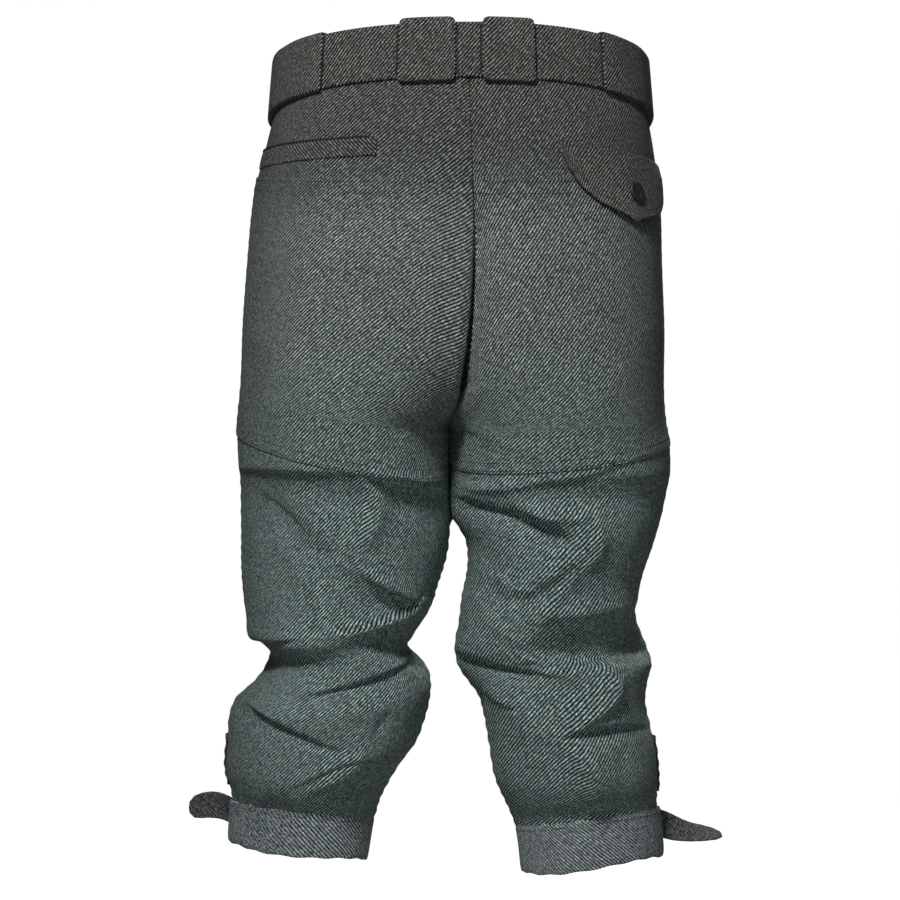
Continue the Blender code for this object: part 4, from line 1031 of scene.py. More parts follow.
@dataclass
class SeatPatch:
    """The second layer of cloth over the seat and the back of the thigh.

    Attributes:
        panel: the back that it lies on.
        spacing: the grid's spacing in millimetres.
        cloth: its thickness, a little under the solid's.
    """

    panel: Panel
    spacing: float = 2.3
    cloth: float = 0.9

    def build(self, wardrobe: Wardrobe) -> None:
        """Makes the patch and its double rows of stitches."""
        leg = self.panel.leg
        top, foot = PATCH_TOP, PATCH_FOOT[leg]
        levels = np.linspace(top, foot, int((top - foot) / self.spacing) + 1)
        ends = np.array([0.9, 1.8, 3.0, 4.5])
        inner = np.arange(6.5, HALF_GIRTH - 6, self.spacing)
        turns = np.concatenate([ends, inner, HALF_GIRTH - ends[::-1] * 0.7]) / HALF_GIRTH
        out = self.cloth + 0.3
        points = self.panel.at(levels[:, None], turns[None, :], out)
        outward = self.panel.outward(levels[:, None], turns[None, :])
        plain = form(leg, levels[:, None], turns[None, :])[0]
        sheet = Sheet(points, outward, self.cloth, 0.4, self.panel.shear(levels, turns), plain)
        finish = "body_left" if leg == "left" else "body"
        name = f"seat_{leg}_cloth"
        wardrobe.lay(name, sheet, finish, "twill", "laid", [f"back_{leg}_cloth"], f"seat_{leg}")
        for row in (top - 2.0, top - 9.5, foot + 2.0, foot + 8.5):
            path = self.panel.at(np.full(len(turns), row), turns, out)
            wardrobe.sew(path, self.panel.outward(np.full(len(turns), row), turns))


def waist(way: Array, level: Array, out: Array = 0.0) -> tuple[Array, Array]:
    """Points round the waist and their outward directions.

    Args:
        way: 0 at the centre back, 1 at the left side, 2 at the centre front and 3 at the right side.
        level: heights at the side, in millimetres.
        out: how far the points are moved out.

    Returns:
        The points in millimetres and their outward directions.
    """
    way, level, out = np.broadcast_arrays(*(np.asarray(v, float) for v in (way, level, out)))
    way = np.mod(way, 4)
    left_point, left_out = form("left", level, 1 - way)
    right_point, right_out = form("right", level, way - 3)
    on_left = (way <= 2)[..., None]
    point = np.where(on_left, left_point, right_point)
    outward = np.where(on_left, left_out, right_out)
    return point + outward * out[..., None], outward


def ways(first: float, last: float, spacing: float = 3.0) -> Array:
    """Places round the waist between two ways, a few millimetres apart."""
    count = max(4, int(abs(last - first) * HALF_GIRTH / spacing))
    return np.linspace(first, last, count + 1)


@dataclass
class Waistband:
    """Both halves of the waistband."""

    cloth: float = 2.4

    def build(self, wardrobe: Wardrobe) -> None:
        """Makes the two halves."""
        gap = SEAM_GAP / 2 / HALF_GIRTH
        levels = np.linspace(WAISTBAND_TOP, WAISTBAND_FOOT, 15)
        for leg, first, last in (("left", gap, 2 - gap), ("right", 2 + gap, 4 - gap)):
            points, outward = waist(ways(first, last)[None, :], levels[:, None])
            sheet = Sheet(points, outward, self.cloth, 0.4)
            name = f"waistband_{leg}_cloth"
            wardrobe.lay(name, sheet, "trim", "twill_trim", "stretched", [], f"waistband_{leg}")


class Lift(NamedTuple):
    """How far the belt's outer face stands out at one way."""

    way: float
    lift: float


BELT_LIFT = (
    Lift(1.985, 3.0), Lift(1.93, 3.0), Lift(-1.86, 3.0), Lift(-1.915, 3.2),
    Lift(-1.932, 5.0), Lift(-1.948, 8.6), Lift(-1.975, 13.2), Lift(-2.022, 13.2),
    Lift(-2.05, 8.4), Lift(-2.066, 6.2), Lift(-2.10, 6.0), Lift(-2.6, 6.0),
)


@dataclass
class Belt:
    """The cloth belt with its pointed free end, its loops, tunnels, keeper and slide."""

    cloth: float = 2.6
    loop_cloth: float = 2.2
    tunnel_cloth: float = 1.8

    def build(self, wardrobe: Wardrobe) -> None:
        """Makes the belt and everything on it."""
        places = np.concatenate([ways(1.985, -1.86), ways(-1.862, -2.10, 1.5)[:-1], ways(-2.10, -2.56)])
        order = np.argsort(-column(BELT_LIFT, "way"))
        lift = np.interp(-places, -column(BELT_LIFT, "way")[order], column(BELT_LIFT, "lift")[order])
        lift = np.convolve(np.pad(lift, 2, mode="edge"), [0.1, 0.2, 0.4, 0.2, 0.1], "valid")
        middle, half = (BELT_TOP + BELT_FOOT) / 2, (BELT_TOP - BELT_FOOT) / 2
        taper = np.interp(-places, [2.50, 2.56], [1.0, 0.35])
        share = np.array([1, 0.93, 0.82, 0.62, 0.4, 0.2, 0, -0.2, -0.4, -0.62, -0.82, -0.93, -1])
        levels = middle + half * share[:, None] * taper[None, :]
        crown = 0.5 * (1 - share**4)[:, None]
        swell = 0.35 * np.sin(places * 23 + 2 * np.sin(places * 7))[None, :] * (1 - share**2)[:, None]
        points, outward = waist(places[None, :], levels, lift[None, :] + crown + swell - 0.3)
        sheet = Sheet(points, outward, self.cloth, 1.2)
        rests = ["waistband_left_cloth", "waistband_right_cloth"]
        wardrobe.lay("belt_cloth", sheet, "trim", "twill_trim", "laid", rests, "belt")
        self.build_carrier(wardrobe, "loop_back_left", 0.035, 0.20, 28.5, -28.5, self.loop_cloth)
        self.build_carrier(wardrobe, "loop_back_right", 3.80, 3.965, 28.5, -28.5, self.loop_cloth)
        self.build_carrier(wardrobe, "tunnel_left", 0.50, 1.38, 26.0, -26.8, self.tunnel_cloth)
        self.build_carrier(wardrobe, "tunnel_right", 2.62, 3.51, 26.0, -26.8, self.tunnel_cloth)
        self.build_keeper(wardrobe)
        self.build_slide(wardrobe)

    def profile(
        self, top: float, foot: float, inner: float, thickness: float, back: float
    ) -> tuple[Array, Array]:
        """A carrier's way over the belt, as heights and distances out, with rounded folds."""
        outer = inner + thickness
        bend = 2.2
        angles = np.linspace(0, math.pi / 2, 5)
        upper = [(top - bend + bend * math.cos(a), outer - bend + bend * math.sin(a)) for a in angles]
        lower = [(foot + bend - bend * math.sin(a), outer - bend + bend * math.cos(a)) for a in angles]
        flat = [(z, outer) for z in np.linspace(top - bend, foot + bend, 15)[1:-1]]
        path = [(top, back), (top, back / 2), *upper, *flat, *lower, (foot, LAY_GAP)]
        return np.array([p[0] for p in path]), np.array([p[1] for p in path])

    def build_carrier(self, wardrobe: Wardrobe, name: str, first: float, last: float,
                      top: float, foot: float, thickness: float) -> None:
        """Makes a loop or a tunnel that holds the belt."""
        levels, outs = self.profile(top, foot, 3.9, thickness, -2.4)
        places = ways(first, last, 2.5)
        swell = 0.25 * np.sin(places * 31 + top)[None, :]
        corner = 5.0 if name.startswith("loop") else 2.0
        left_over = np.clip(corner - np.minimum(top - levels, levels - foot), 0, corner)
        inset = (corner - np.sqrt(corner**2 - left_over**2))[:, None] / HALF_GIRTH
        middle, half = (first + last) / 2, (last - first) / 2
        rounded = middle + (places[None, :] - middle) * (1 - inset / half)
        points, outward = waist(rounded, levels[:, None], outs[:, None] + swell)
        sheet = Sheet(points, outward, thickness, 0.8)
        wardrobe.lay(f"{name}_cloth", sheet, "trim", "twill_trim", "folded", ["belt_cloth"], name)
        # Close rows of dark thread laid on the belt just outside each end of the carrier: a painted shadow of
        # the carrier's edge.
        shadow_line_ends = ((first, -1), (last, 1))
        for way in [end + side * gap / HALF_GIRTH for end, side in shadow_line_ends for gap in (1.3, 2.1)]:
            rows = np.linspace(BELT_TOP - 1.5, BELT_FOOT + 1.5, 20)
            path, facing = waist(np.full(20, way), rows, np.full(20, 3.6))
            wardrobe.sew(path, facing, 2.1)

    def build_keeper(self, wardrobe: Wardrobe) -> None:
        """Makes the narrow loop round both layers of the belt."""
        levels, outs = self.profile(BELT_TOP + 2.2, BELT_FOOT - 2.2, 6.9, 1.6, LAY_GAP)
        places = ways(17.2 / 11, 17.95 / 11, 1.5)
        points, outward = waist(places[None, :], levels[:, None], outs[:, None])
        sheet = Sheet(points, outward, 1.6, 0.6)
        rests = ["belt_cloth"]
        wardrobe.lay("belt_keeper_cloth", sheet, "trim", "twill_trim", "folded", rests, "belt_keeper")

    def build_slide(self, wardrobe: Wardrobe) -> None:
        """Makes the wire slide with its middle bar."""
        centre = waist(np.array(2.0), np.array((BELT_TOP + BELT_FOOT) / 2), np.array(8.2))[0]
        curve = bpy.data.curves.new("slide", "CURVE")
        curve.dimensions = "3D"
        curve.bevel_depth = 1.8 * MM
        curve.bevel_resolution = 4
        curve.use_fill_caps = True
        outline = []
        for quarter in range(4):
            across = 18.0 * (1 if quarter in (0, 3) else -1)
            up = 23.0 * (1 if quarter in (0, 1) else -1)
            for step in range(9):
                angle = (quarter + step / 8) * math.pi / 2
                outline.append((across + 6 * math.cos(angle), up + 6 * math.sin(angle)))
        for corners, closed in ((outline, True), ([(0, 29), (0, -29)], False)):
            spline = curve.splines.new("POLY")
            spline.points.add(len(corners) - 1)
            spline.use_cyclic_u = closed
            for point, (across, up) in zip(spline.points, corners):
                point.co = ((centre[0] + across) * MM, centre[1] * MM, (centre[2] + up) * MM, 1)
        source = bpy.data.objects.new("slide_wire", curve)
        bpy.context.scene.collection.objects.link(source)
        place("belt_slide", plain_mesh(source), wardrobe.steel, "slide", "belt_buckle")


@dataclass
class Welt:
    """The left back pocket's welt."""

    panel: Panel
    turns: tuple[float, float] = (0.085, 0.735)
    tops: tuple[float, float] = (-57.0, -54.0)
    height: float = 15.0
    cloth: float = 0.8

    def build(self, wardrobe: Wardrobe) -> None:
        """Makes the welt, its stitches and dark rows of thread along its top that paint the shadow of the
        pocket's opening.
        """
        turns = np.linspace(*self.turns, 70)
        tops = np.interp(turns, self.turns, self.tops)
        shares = np.array([0, 0.1, 0.25, 0.4, 0.55, 0.7, 0.85, 1.0])[:, None]
        levels = self.panel.level_at(tops[None, :] - shares * self.height, turns[None, :])
        outs = self.cloth + LAY_GAP + np.interp(shares, [0, 0.25, 0.65, 1], [0.3, 0.7, 0.5, 0.0])
        points = self.panel.at(levels, turns[None, :], outs)
        outward = self.panel.outward(levels, turns[None, :])
        sheet = Sheet(points, outward, self.cloth, 0.8)
        rests = ["back_left_cloth"]
        wardrobe.lay("pocket_welt_cloth", sheet, "welt", "twill_trim", "folded", rests, "pocket_welt")
        # Three close rows of dark thread along the welt's top edge: a painted shadow of the pocket's opening.
        for rise in (0.5, 1.1, 1.7):
            wardrobe.sew(points[0][:-3] + np.array([0, 0.1, rise]), outward[0][:-3], 1.6)
        for end in (1, -2):
            wardrobe.sew(points[:, end], outward[:, end], 3.0)


class FlapEdge(NamedTuple):
    """How far the flap's lower edge hangs, from its centre, 0, to either end, 1."""

    across: float
    drop: float


FLAP_EDGE = (
    FlapEdge(0.0, 62), FlapEdge(0.12, 57), FlapEdge(0.35, 53), FlapEdge(0.6, 46), FlapEdge(0.8, 35),
    FlapEdge(0.93, 20), FlapEdge(1.0, 7),
)


@dataclass
class Flap:
    """The right back pocket's scalloped flap and its button."""

    panel: Panel
    turns: tuple[float, float] = (0.09, 0.72)
    tops: tuple[float, float] = (-70.0, -58.5)
    cloth: float = 2.2
    button_drop: float = 35.0
    button_radius: float = 8.5

    def lift(self, down: Array) -> Array:
        """How far the flap's face stands off the panel."""
        over_patch = 2 * LAY_GAP + PATCH_CLOTH + self.cloth + 0.6
        return np.interp(down, [0, 12, 66], [self.cloth + LAY_GAP + 0.2, over_patch, over_patch + 3.0])

    def at(self, across: Array, down: Array, out: Array) -> Array:
        """Points on the flap: across is -1 at its outer end, down is in millimetres."""
        turn = np.interp(across, [-1, 1], self.turns)
        top = np.interp(across, [-1, 1], self.tops)
        return self.panel.at(self.panel.level_at(top - down, turn), turn, out)

    def drop(self, across: Array) -> Array:
        """The lower edge at any place across."""
        return np.interp(np.abs(across), column(FLAP_EDGE, "across"), column(FLAP_EDGE, "drop"))

    def build(self, wardrobe: Wardrobe) -> None:
        """Makes the flap, its stitches and its button."""
        across = np.sin(np.linspace(-1, 1, 71) * math.pi / 2 * 0.98) / math.sin(math.pi / 2 * 0.98)
        drop = self.drop(across)
        drop = np.convolve(np.pad(drop, 1, mode="edge"), [0.25, 0.5, 0.25], "valid")
        shares = np.linspace(0, 1, 24)[:, None]
        down = shares * drop[None, :]
        lift = self.lift(down) + np.clip(-across, 0, 1)[None, :] * down * 0.03
        lift = lift + 0.6 * np.sin(across * 9)[None, :] * shares**2
        points = self.at(across[None, :], down, lift)
        turn = np.interp(across, [-1, 1], self.turns)
        outward = np.broadcast_to(self.panel.outward(np.full(71, -90.0), turn)[None], points.shape)
        sheet = Sheet(points, outward, self.cloth, 1.0)
        rests = ["back_right_cloth"]
        wardrobe.lay("pocket_flap_cloth", sheet, "trim_low", "twill_trim", "hung", rests, "pocket_flap")
        inset = np.clip(drop - 5.5, 1, None)
        lift = self.lift(inset) + np.clip(-across, 0, 1) * inset * 0.03 + 0.6 * np.sin(across * 9) * 0.85
        wardrobe.sew(self.at(across, inset, lift)[2:-2], sheet.normals[-4][2:-2])
        wardrobe.sew(self.at(across, np.full(71, 2.2), self.lift(np.full(71, 2.2))), sheet.normals[2])
        wardrobe.sew(self.at(across, np.full(71, -0.8), np.full(71, 1.4)), sheet.normals[2], 1.6)
        self.build_button(wardrobe)

    def build_button(self, wardrobe: Wardrobe) -> None:
        """Makes the turned button with its four holes."""
        down = np.array(self.button_drop)
        lift = self.lift(down) + LAY_GAP
        seat = self.at(np.array(0.0), down, lift)
        right = self.at(np.array(0.05), down, lift) - seat
        lower = self.at(np.array(0.0), down + 8, lift + 0.4) - seat
        outward = unit(np.cross(right, lower))
        outward = outward if outward[1] > 0 else -outward
        r = self.button_radius
        rings = ((0.0, 0.0), (r - 1.4, 0.0), (r - 0.4, 0.5), (r, 1.3), (r, 2.3),
                 (r - 0.35, 2.9), (r - 0.9, 3.2),
                 (r - 1.8, 3.1), (r - 2.4, 2.8), (r - 3.2, 2.35), (r - 4.5, 2.2), (0.0, 2.2))
        turn = np.array(Vector(outward).to_track_quat("Z", "Y").to_matrix())
        verts, quads = [], []
        steps = 48
        for radius, height in rings:
            for i in range(steps):
                a = 2 * math.pi * i / steps
                spot = np.array([radius * math.cos(a), radius * math.sin(a), height])
                verts.append((seat + turn @ spot) * MM)
        for k in range(len(rings) - 1):
            for i in range(steps):
                j = (i + 1) % steps
                quads.append((k * steps + i, k * steps + j, (k + 1) * steps + j, (k + 1) * steps + i))
        mesh = bpy.data.meshes.new("flap_button_turned")
        mesh.from_pydata([tuple(v) for v in verts], [], quads)
        soften(mesh).validate()
        place("flap_button_turned", mesh, wardrobe.button, "button", "flap_button")
        for a, b in (((-1.3, -1.3), (1.3, 1.3)), ((-1.3, 1.3), (1.3, -1.3))):
            path = np.array([
                seat + turn @ np.array([
                    *np.array(a) * (1 - t) + np.array(b) * t, 2.3 + 0.3 * math.sin(math.pi * t)
                ])
                             for t in np.linspace(0, 1, 7)])
            wardrobe.sew(path, np.broadcast_to(outward, path.shape), 3.8)


@dataclass
class Fly:
    """The fly's cover on the left front."""

    panel: Panel
    foot: float = -208.0
    breadth: float = 0.16
    cloth: float = 1.6

    def build(self, wardrobe: Wardrobe) -> None:
        """Makes the cover and its curved row of stitches."""
        levels = np.linspace(WAISTBAND_FOOT - 6.5, self.foot, 62)
        share = np.clip((levels - self.foot) / 60, 0, 1)
        breadth = self.breadth * np.sqrt(1 - (1 - share) ** 2) + 0.02
        steps = np.linspace(0, 1, 15)
        turns = -(1 - SEAM_GAP / 2 / HALF_GIRTH) + breadth[:, None] * steps[None, :]
        points = self.panel.at(levels[:, None], turns, LAY_GAP + 2.4)
        outward = self.panel.outward(levels[:, None], turns)
        sheet = Sheet(points, outward, self.cloth, 0.6)
        rests = ["front_left_cloth"]
        wardrobe.lay("fly_cover_cloth", sheet, "body", "twill_trim", "laid", rests, "fly_cover")
        wardrobe.sew(points[:, -2], sheet.normals[:, -2])


@dataclass
class Cuff:
    """A leg's cuff with its strap and the strip along its vent."""

    leg: str
    panel: Panel
    cloth: float = 2.8
    strap_cloth: float = 2.4
    strap_breadth: float = 23.0
    strip_cloth: float = 1.6
    root_turns: tuple[float, ...] = (-0.27, -0.24, -0.21, -0.185, -0.16, -0.14, -0.12)

    def at(self, turn: Array, share: Array, out: Array) -> tuple[Array, Array]:
        """Points on the cuff: share is 0 at its upper edge and 1 at its lower edge."""
        level = CUFF_TOPS[self.leg] - SEAM_GAP - share * CUFF_HEIGHTS[self.leg]
        points, outward = form(self.leg, level, turn)
        return points + outward * np.asarray(out, float)[..., None], outward

    def build(self, wardrobe: Wardrobe) -> None:
        """Makes the cuff, the strap and the strip."""
        turns = np.concatenate([np.linspace(-0.03, 1, 90), np.linspace(-1, -0.075, 80)[1:]])
        shares = np.array([0, 0.04, 0.1, 0.2, 0.35, 0.5, 0.65, 0.8, 0.9, 0.96, 1.0])[:, None]
        points, outward = self.face(turns[None, :], shares)
        sheet = Sheet(points, outward, self.cloth, 1.2, plain=self.at(turns[None, :], shares, 0.0)[0])
        name = f"cuff_{self.leg}"
        rests = [f"back_{self.leg}_cloth"]
        wardrobe.lay(f"{name}_cloth", sheet, "falling", "twill_trim", "stretched", rests, name)
        wardrobe.sew(points[2] + outward[2] * 0.1, sheet.normals[2])
        self.build_mark(wardrobe)
        self.build_strap(wardrobe)
        self.build_strip(wardrobe)

    def face(self, turns: Array, shares: Array) -> tuple[Array, Array]:
        """The cuff's outer face, lapped at the vent and a little uneven at its foot."""
        lap = smooth((0.22 - turns) / 0.22) * (turns > -0.05)
        swell = 0.35 * np.sin(turns * 38 + 2 * np.sin(turns * 11)) * np.sin(shares * math.pi)
        out = CUFF_OUT - 0.9 * np.abs(2 * shares - 1) ** 8 + 3.6 * lap + swell
        points, outward = self.at(turns, shares, out)
        wave = 1.6 * np.sin(turns * 9.0 + SIDE[self.leg]) * shares + 0.5 * np.sin(turns * 47) * shares**3
        return points + np.stack([0 * wave, 0 * wave, wave], -1), outward

    def build_mark(self, wardrobe: Wardrobe) -> None:
        """Sews the short lines beside the vent, seen from behind as X and Z in millimetres."""
        mark_turns, mark_shares = np.linspace(-0.02, 0.5, 260), np.linspace(0.02, 0.98, 60)
        points, outward = self.face(mark_turns[None, :], mark_shares[:, None])
        points, outward = points.reshape(-1, 3), outward.reshape(-1, 3)
        corners = np.array(CUFF_MARKS[self.leg])
        for first, last in zip(corners, corners[1:]):
            steps = np.linspace(first, last, 6)
            near = [np.hypot(points[:, 0] - x, points[:, 2] - z).argmin() for x, z in steps]
            wardrobe.sew(points[near] + outward[near] * 0.1, outward[near], 3.0)

    def build_strap(self, wardrobe: Wardrobe) -> None:
        """Makes the strap that leaves the cuff at the vent."""
        side = SIDE[self.leg]
        stand_off = CUFF_OUT + LAY_GAP + self.strap_cloth
        turns = np.array(self.root_turns)
        share = STRAP_SHARES[self.leg]
        root = self.at(turns, np.full(len(turns), share), np.full(len(turns), stand_off))[0]
        root[:, 0] *= side
        rows = STRAPS[self.leg]
        free = np.stack([column(rows, "out"), column(rows, "back"), column(rows, "up")], -1)
        middle = np.concatenate([root, free])
        width = np.concatenate([np.full(len(root), self.strap_breadth), column(rows, "width")])
        twist = np.radians(np.concatenate([np.zeros(len(root)), column(rows, "twist")]))
        run = np.concatenate([[0], np.linalg.norm(np.diff(middle, axis=0), axis=-1).cumsum()])
        fine = np.concatenate([np.arange(0, run[-1] - 5, 1.8), np.linspace(run[-1] - 5, run[-1], 8)])
        middle = np.stack([smooth_curve(run, middle[:, i], fine) for i in range(3)], -1)
        width = np.interp(fine, run, width)
        twist = smooth_curve(run, twist, fine)[:, None]
        ahead = unit(np.gradient(middle, axis=0))
        up = np.array([0.0, 0.0, 1.0])
        face = unit(np.cross(ahead, up))
        breadth = np.cos(twist) * up + np.sin(twist) * face
        normal = np.cross(ahead, breadth)
        lines = np.array([1, 0.9, 0.7, 0.45, 0.2, 0, -0.2, -0.45, -0.7, -0.9, -1])
        points = np.stack([middle + breadth * line * width[:, None] / 2 for line in lines])
        points = points + 0.5 * normal * (1 - lines**4)[:, None, None]
        outward = np.broadcast_to(normal, points.shape).copy()
        points[..., 0] *= side
        outward[..., 0] *= side
        sheet = Sheet(points, outward, self.strap_cloth, 1.0)
        name = f"strap_{self.leg}"
        wardrobe.lay(f"{name}_cloth", sheet, "trim", "twill_trim", "laid", [f"cuff_{self.leg}_cloth"], name)
        for line in (1, -2):
            wardrobe.sew(points[line][10:], sheet.normals[line][10:])

    def build_strip(self, wardrobe: Wardrobe) -> None:
        """Makes the strip along the vent above the cuff."""
        levels = np.linspace(STRIP_TOPS[self.leg], CUFF_TOPS[self.leg] + 14.0, 22)
        turns = np.linspace(-0.085, -0.004, 9)
        outs = LAY_GAP + self.strip_cloth + np.interp(turns, [-0.085, -0.045, -0.004], [0, 0.4, 1.2])
        points = self.panel.at(levels[:, None], turns[None, :], outs[None, :])
        outward = self.panel.outward(levels[:, None], turns[None, :])
        sheet = Sheet(points, outward, self.strip_cloth, 0.6)
        name = f"vent_{self.leg}"
        wardrobe.lay(f"{name}_cloth", sheet, "trim", "twill_trim", "laid", [f"front_{self.leg}_cloth"], name)
        wardrobe.sew(points[:, 1], sheet.normals[:, 1])


class Course(NamedTuple):
    """One row of a free strap: out across from the middle, back and up, with its width and its twist."""

    out: float
    back: float
    up: float
    width: float
    twist: float


CUFF_MARKS = {
    "left": ((182.7, -654), (180.9, -661.2), (188.9, -670)),
    "right": ((-168.7, -668), (-172.0, -679)),
}
STRAP_SHARES = {"left": 0.35, "right": 0.32}
STRAPS = {
    "left": (
        Course(214.5, -15, -660.5, 23, 0), Course(221, -10.5, -657, 23, 0), Course(229, -8, -655.5, 23, 0),
        Course(238, -6, -656, 22, 0), Course(245, -5, -657, 19, 0), Course(249, -4, -657.5, 10, 0),
    ),
    "right": (
        Course(188, -16, -674.5, 23, 12), Course(196, -12, -677.5, 23, 28), Course(209, -10, -681, 22, 46),
        Course(224, -11, -683, 21, 58), Course(235, -12, -684, 17, 64), Course(241, -13, -684.5, 8, 66),
    ),
}
STRIP_TOPS = {"left": -590.0, "right": -592.0}


@dataclass
class Stitching:
    """Every stitch on the garment, set by one Geometry Nodes tree.

    Attributes:
        length: a stitch's length in metres.
        width: its width in metres.
        height: how thick it is, in metres.
        seed: the seed of its small tilts.
    """

    length: float = 0.0027
    width: float = 0.00085
    height: float = 0.0006
    seed: int = 7

    def tree(self, thread: bpy.types.Material) -> bpy.types.NodeTree:
        """Builds the tree that puts a stitch on each point.

        Args:
            thread: the stitches' material.

        Returns:
            The tree, with named inputs for the stitch's sizes and its seed.
        """
        group = bpy.data.node_groups.new("stitches", "GeometryNodeTree")
        group.interface.new_socket("Geometry", in_out="INPUT", socket_type="NodeSocketGeometry")
        for name, kind in (("Length", "NodeSocketFloat"), ("Width", "NodeSocketFloat"),
                           ("Height", "NodeSocketFloat"), ("Seed", "NodeSocketInt")):
            group.interface.new_socket(name, in_out="INPUT", socket_type=kind)
        group.interface.new_socket("Geometry", in_out="OUTPUT", socket_type="NodeSocketGeometry")
        tree = Tree(group)
        given = tree.node("NodeGroupInput")
        result = tree.node("NodeGroupOutput")
        ball = tree.node("GeometryNodeMeshUVSphere")
        ball.inputs["Segments"].default_value = 6
        ball.inputs["Rings"].default_value = 4
        ball.inputs["Radius"].default_value = 0.5
        size = tree.node("ShaderNodeCombineXYZ")
        for name, socket in zip(("Length", "Width", "Height"), size.inputs):
            tree.join(given.outputs[name], socket)
        sized = tree.node("GeometryNodeTransform")
        tree.join(ball.outputs["Mesh"], sized.inputs["Geometry"])
        tree.join(size.outputs[0], sized.inputs["Scale"])
        ahead = tree.node("GeometryNodeInputNamedAttribute", data_type="FLOAT_VECTOR")
        ahead.inputs["Name"].default_value = "ahead"
        facing = tree.node("GeometryNodeInputNamedAttribute", data_type="FLOAT_VECTOR")
        facing.inputs["Name"].default_value = "facing"
        first = tree.node("FunctionNodeAlignRotationToVector", axis="X")
        tree.join(ahead.outputs["Attribute"], first.inputs["Vector"])
        second = tree.node("FunctionNodeAlignRotationToVector", axis="Z", pivot_axis="X")
        tree.join(first.outputs[0], second.inputs["Rotation"])
        tree.join(facing.outputs["Attribute"], second.inputs["Vector"])
        tilt = tree.node("FunctionNodeRandomValue", data_type="FLOAT_VECTOR")
        tilt.inputs["Min"].default_value = (-0.05, -0.06, -0.1)
        tilt.inputs["Max"].default_value = (0.05, 0.06, 0.1)
        tree.join(given.outputs["Seed"], tilt.inputs["Seed"])
        tilted = tree.node("FunctionNodeRotateRotation", rotation_space="LOCAL")
        tree.join(second.outputs[0], tilted.inputs["Rotation"])
        tree.join(tilt.outputs[0], tilted.inputs["Rotate By"])
        set_out = tree.node("GeometryNodeInstanceOnPoints")
        tree.join(given.outputs["Geometry"], set_out.inputs["Points"])
        tree.join(sized.outputs[0], set_out.inputs["Instance"])
        tree.join(tilted.outputs[0], set_out.inputs["Rotation"])
        real = tree.node("GeometryNodeRealizeInstances")
        tree.join(set_out.outputs[0], real.inputs[0])
        dressed = tree.node("GeometryNodeSetMaterial")
        dressed.inputs["Material"].default_value = thread
        tree.join(real.outputs[0], dressed.inputs["Geometry"])
        tree.join(dressed.outputs[0], result.inputs[0])
        return group

    def build(self, wardrobe: Wardrobe, thread: bpy.types.Material) -> None:
        """Sets all the gathered rows as one piece.

        Args:
            wardrobe: holds the rows.
            thread: the stitches' material.
        """
        where = np.concatenate([row[0] for row in wardrobe.rows])
        ways_of = np.concatenate([row[1] for row in wardrobe.rows])
        mesh = bpy.data.meshes.new("stitch_points")
        mesh.from_pydata((where * MM).tolist(), [], [])
        for name, part in (("facing", ways_of[:, :3]), ("ahead", ways_of[:, 3:])):
            layer = mesh.attributes.new(name, "FLOAT_VECTOR", "POINT")
            layer.data.foreach_set("vector", part.astype(np.float32).reshape(-1))
        source = bpy.data.objects.new("stitch_points", mesh)
        bpy.context.scene.collection.objects.link(source)
        setter = source.modifiers.new("Stitches", "NODES")
        setter.node_group = self.tree(thread)
        sizes = {"Length": self.length, "Width": self.width, "Height": self.height, "Seed": self.seed}
        for item in setter.node_group.interface.items_tree:
            if item.in_out == "INPUT" and item.name in sizes:
                setter[item.identifier] = sizes[item.name]
        made = plain_mesh(source)
        for layer in list(made.uv_layers):
            made.uv_layers.remove(layer)
        place("stitches", made, thread, "twill_trim")
        LOG.info("stitches: %d", len(where))


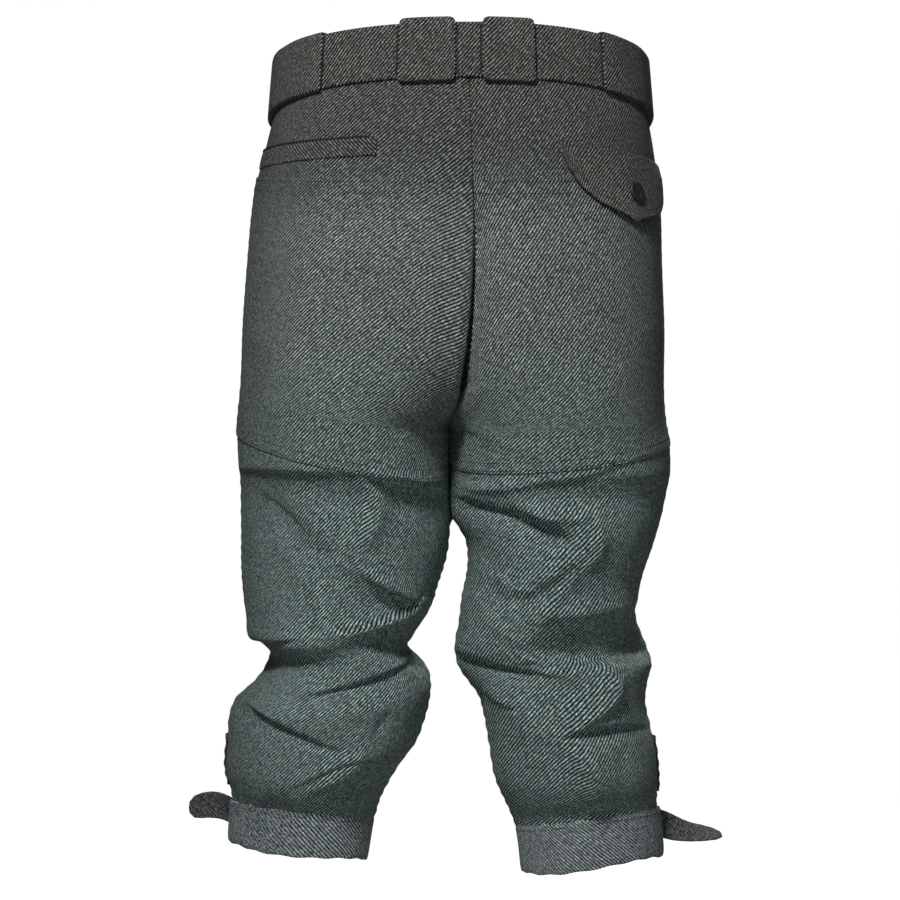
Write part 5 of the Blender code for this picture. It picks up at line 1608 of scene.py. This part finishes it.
@dataclass
class Studio:
    """The plain floor and backdrop, the soft lights and the camera at the photograph's place."""

    camera_at: tuple[float, float, float] = (0.0092, 2.6, -0.3284)
    across: float = 0.828
    floor: float = -1.12

    def build(self) -> None:
        """Makes the camera, the lights and the stage."""
        self.build_camera()
        self.build_stage()
        self.light("key", (0.55, 2.0, 1.45), 0.5, 52.0)
        self.light("fill", (-0.6, 2.6, -0.2), 1.4, 5.2)
        self.light("front", (-0.5, -2.0, 1.45), 0.6, 52.0)
        world = bpy.data.worlds.new("studio")
        world.use_nodes = True
        world.node_tree.nodes["Background"].inputs[0].default_value = (1, 1, 1, 1)
        world.node_tree.nodes["Background"].inputs[1].default_value = 0.09
        bpy.context.scene.world = world
        bpy.context.scene.view_settings.view_transform = "Standard"

    def build_camera(self) -> None:
        """Makes the camera and sets it as the scene's."""
        data = bpy.data.cameras.new("camera")
        data.sensor_width = 36.0
        data.lens = 36.0 * self.camera_at[1] / self.across
        data.clip_end = 50.0
        camera = bpy.data.objects.new("camera", data)
        camera.location = self.camera_at
        camera.rotation_euler = (math.pi / 2, 0, math.pi)
        bpy.context.scene.collection.objects.link(camera)
        bpy.context.scene.camera = camera

    def build_stage(self) -> None:
        """Makes the pale floor that curves up into a backdrop on every side."""
        steps = 24
        reach, curve = 4.5, 1.6
        profile = [(0.0, 0.0), (reach, 0.0)]
        sweep_angles = np.linspace(0, math.pi / 2, 12)[1:]
        profile += [(reach + curve * math.sin(a), curve * (1 - math.cos(a))) for a in sweep_angles]
        profile.append((reach + curve, 5.0))
        mesh = bpy.data.meshes.new("backdrop")
        verts = [
            (r * math.cos(2 * math.pi * i / steps), r * math.sin(2 * math.pi * i / steps), self.floor + h)
                 for r, h in profile for i in range(steps)]
        quads = [(k * steps + i, k * steps + (i + 1) % steps,
                  (k + 1) * steps + (i + 1) % steps, (k + 1) * steps + i)
                 for k in range(len(profile) - 1) for i in range(steps)]
        mesh.from_pydata(verts, [], quads)
        soften(mesh).materials.append(self.paper())
        backdrop = bpy.data.objects.new("backdrop", mesh)
        bpy.context.scene.collection.objects.link(backdrop)

    def paper(self) -> bpy.types.Material:
        """White paper that glows to the eye, so that its bounce on the cloth stays low."""
        made, tree, shader = new_material("backdrop paper")
        shader.inputs["Base Color"].default_value = (0.3, 0.3, 0.3, 1)
        shader.inputs["Roughness"].default_value = 0.95
        shader.inputs["Emission Color"].default_value = (1, 1, 1, 1)
        seen = tree.node("ShaderNodeLightPath").outputs["Is Camera Ray"]
        tree.join(tree.math("MULTIPLY", seen, 0.97), shader.inputs["Emission Strength"])
        return made

    def light(self, name: str, at: tuple[float, float, float], size: float, power: float) -> None:
        """Adds a soft light that faces the garment."""
        data = bpy.data.lights.new(name, "AREA")
        data.shape = "DISK"
        data.size = size
        data.energy = power
        lamp = bpy.data.objects.new(name, data)
        lamp.location = at
        lamp.rotation_mode = "QUATERNION"
        lamp.rotation_quaternion = (Vector((0, 0, -0.35)) - Vector(at)).to_track_quat("-Z", "Y")
        bpy.context.scene.collection.objects.link(lamp)


def finishes() -> dict[str, bpy.types.Material]:
    """The twills, each with its own bearing and colours."""
    weave = weave_group()
    # The trims' light yarn is darker at the waist too: painted shade.
    neutral = dict(painted_shade_top_light=(0.235, 0.235, 0.222), light=(0.31, 0.31, 0.295), low_light=(0.27, 0.275, 0.30))
    kinds = {
        "body": TwillFinish("wool twill", bearing=Bearing.STEEP),
        "body_left": TwillFinish("wool twill, left back", bearing=Bearing.SHALLOW),
        "welt": TwillFinish("welt twill", bearing=Bearing.FALLING),
        "trim": TwillFinish("trim twill", **neutral),
        "trim_low": TwillFinish("flap twill", **neutral, bearing=Bearing.SHALLOW),
        # The cuffs' light yarn is made much lighter low down: painted light, with a real bluish tint.
        "falling": TwillFinish("cuff twill", low_light=(0.60, 0.70, 0.74), bearing=Bearing.FALLING, pepper=0.3),
    }
    return {name: finish.material(weave) for name, finish in kinds.items()}


def main() -> None:
    """Builds the studio, then each sub-assembly in order."""
    Studio().build()
    horn_colours = (0.02, 0.021, 0.023), (0.035, 0.034, 0.033)
    horn = PlainFinish("dark horn", *horn_colours, 0.35, grain=250.0).material()
    steel = PlainFinish("slide steel", (0.42, 0.42, 0.41), (0.34, 0.34, 0.33), 0.34, 1.0, 500.0).material()
    thread_colours = (0.008, 0.010, 0.013), (0.016, 0.019, 0.024)
    thread = PlainFinish("dark thread", *thread_colours, 0.8, grain=2500.0).material()
    wardrobe = Wardrobe(finishes(), horn, steel)
    panels = {}
    for leg in SIDE:
        for face in ("front", "back"):
            panels[leg, face] = Panel(leg, face)
            panels[leg, face].build(wardrobe)
        SeatPatch(panels[leg, "back"]).build(wardrobe)
    Waistband().build(wardrobe)
    Belt().build(wardrobe)
    Welt(panels["left", "back"]).build(wardrobe)
    Flap(panels["right", "back"]).build(wardrobe)
    Fly(panels["left", "front"]).build(wardrobe)
    for leg in SIDE:
        Cuff(leg, panels[leg, "front"]).build(wardrobe)
    Stitching().build(wardrobe, thread)


if __name__ == "__main__":
    main()
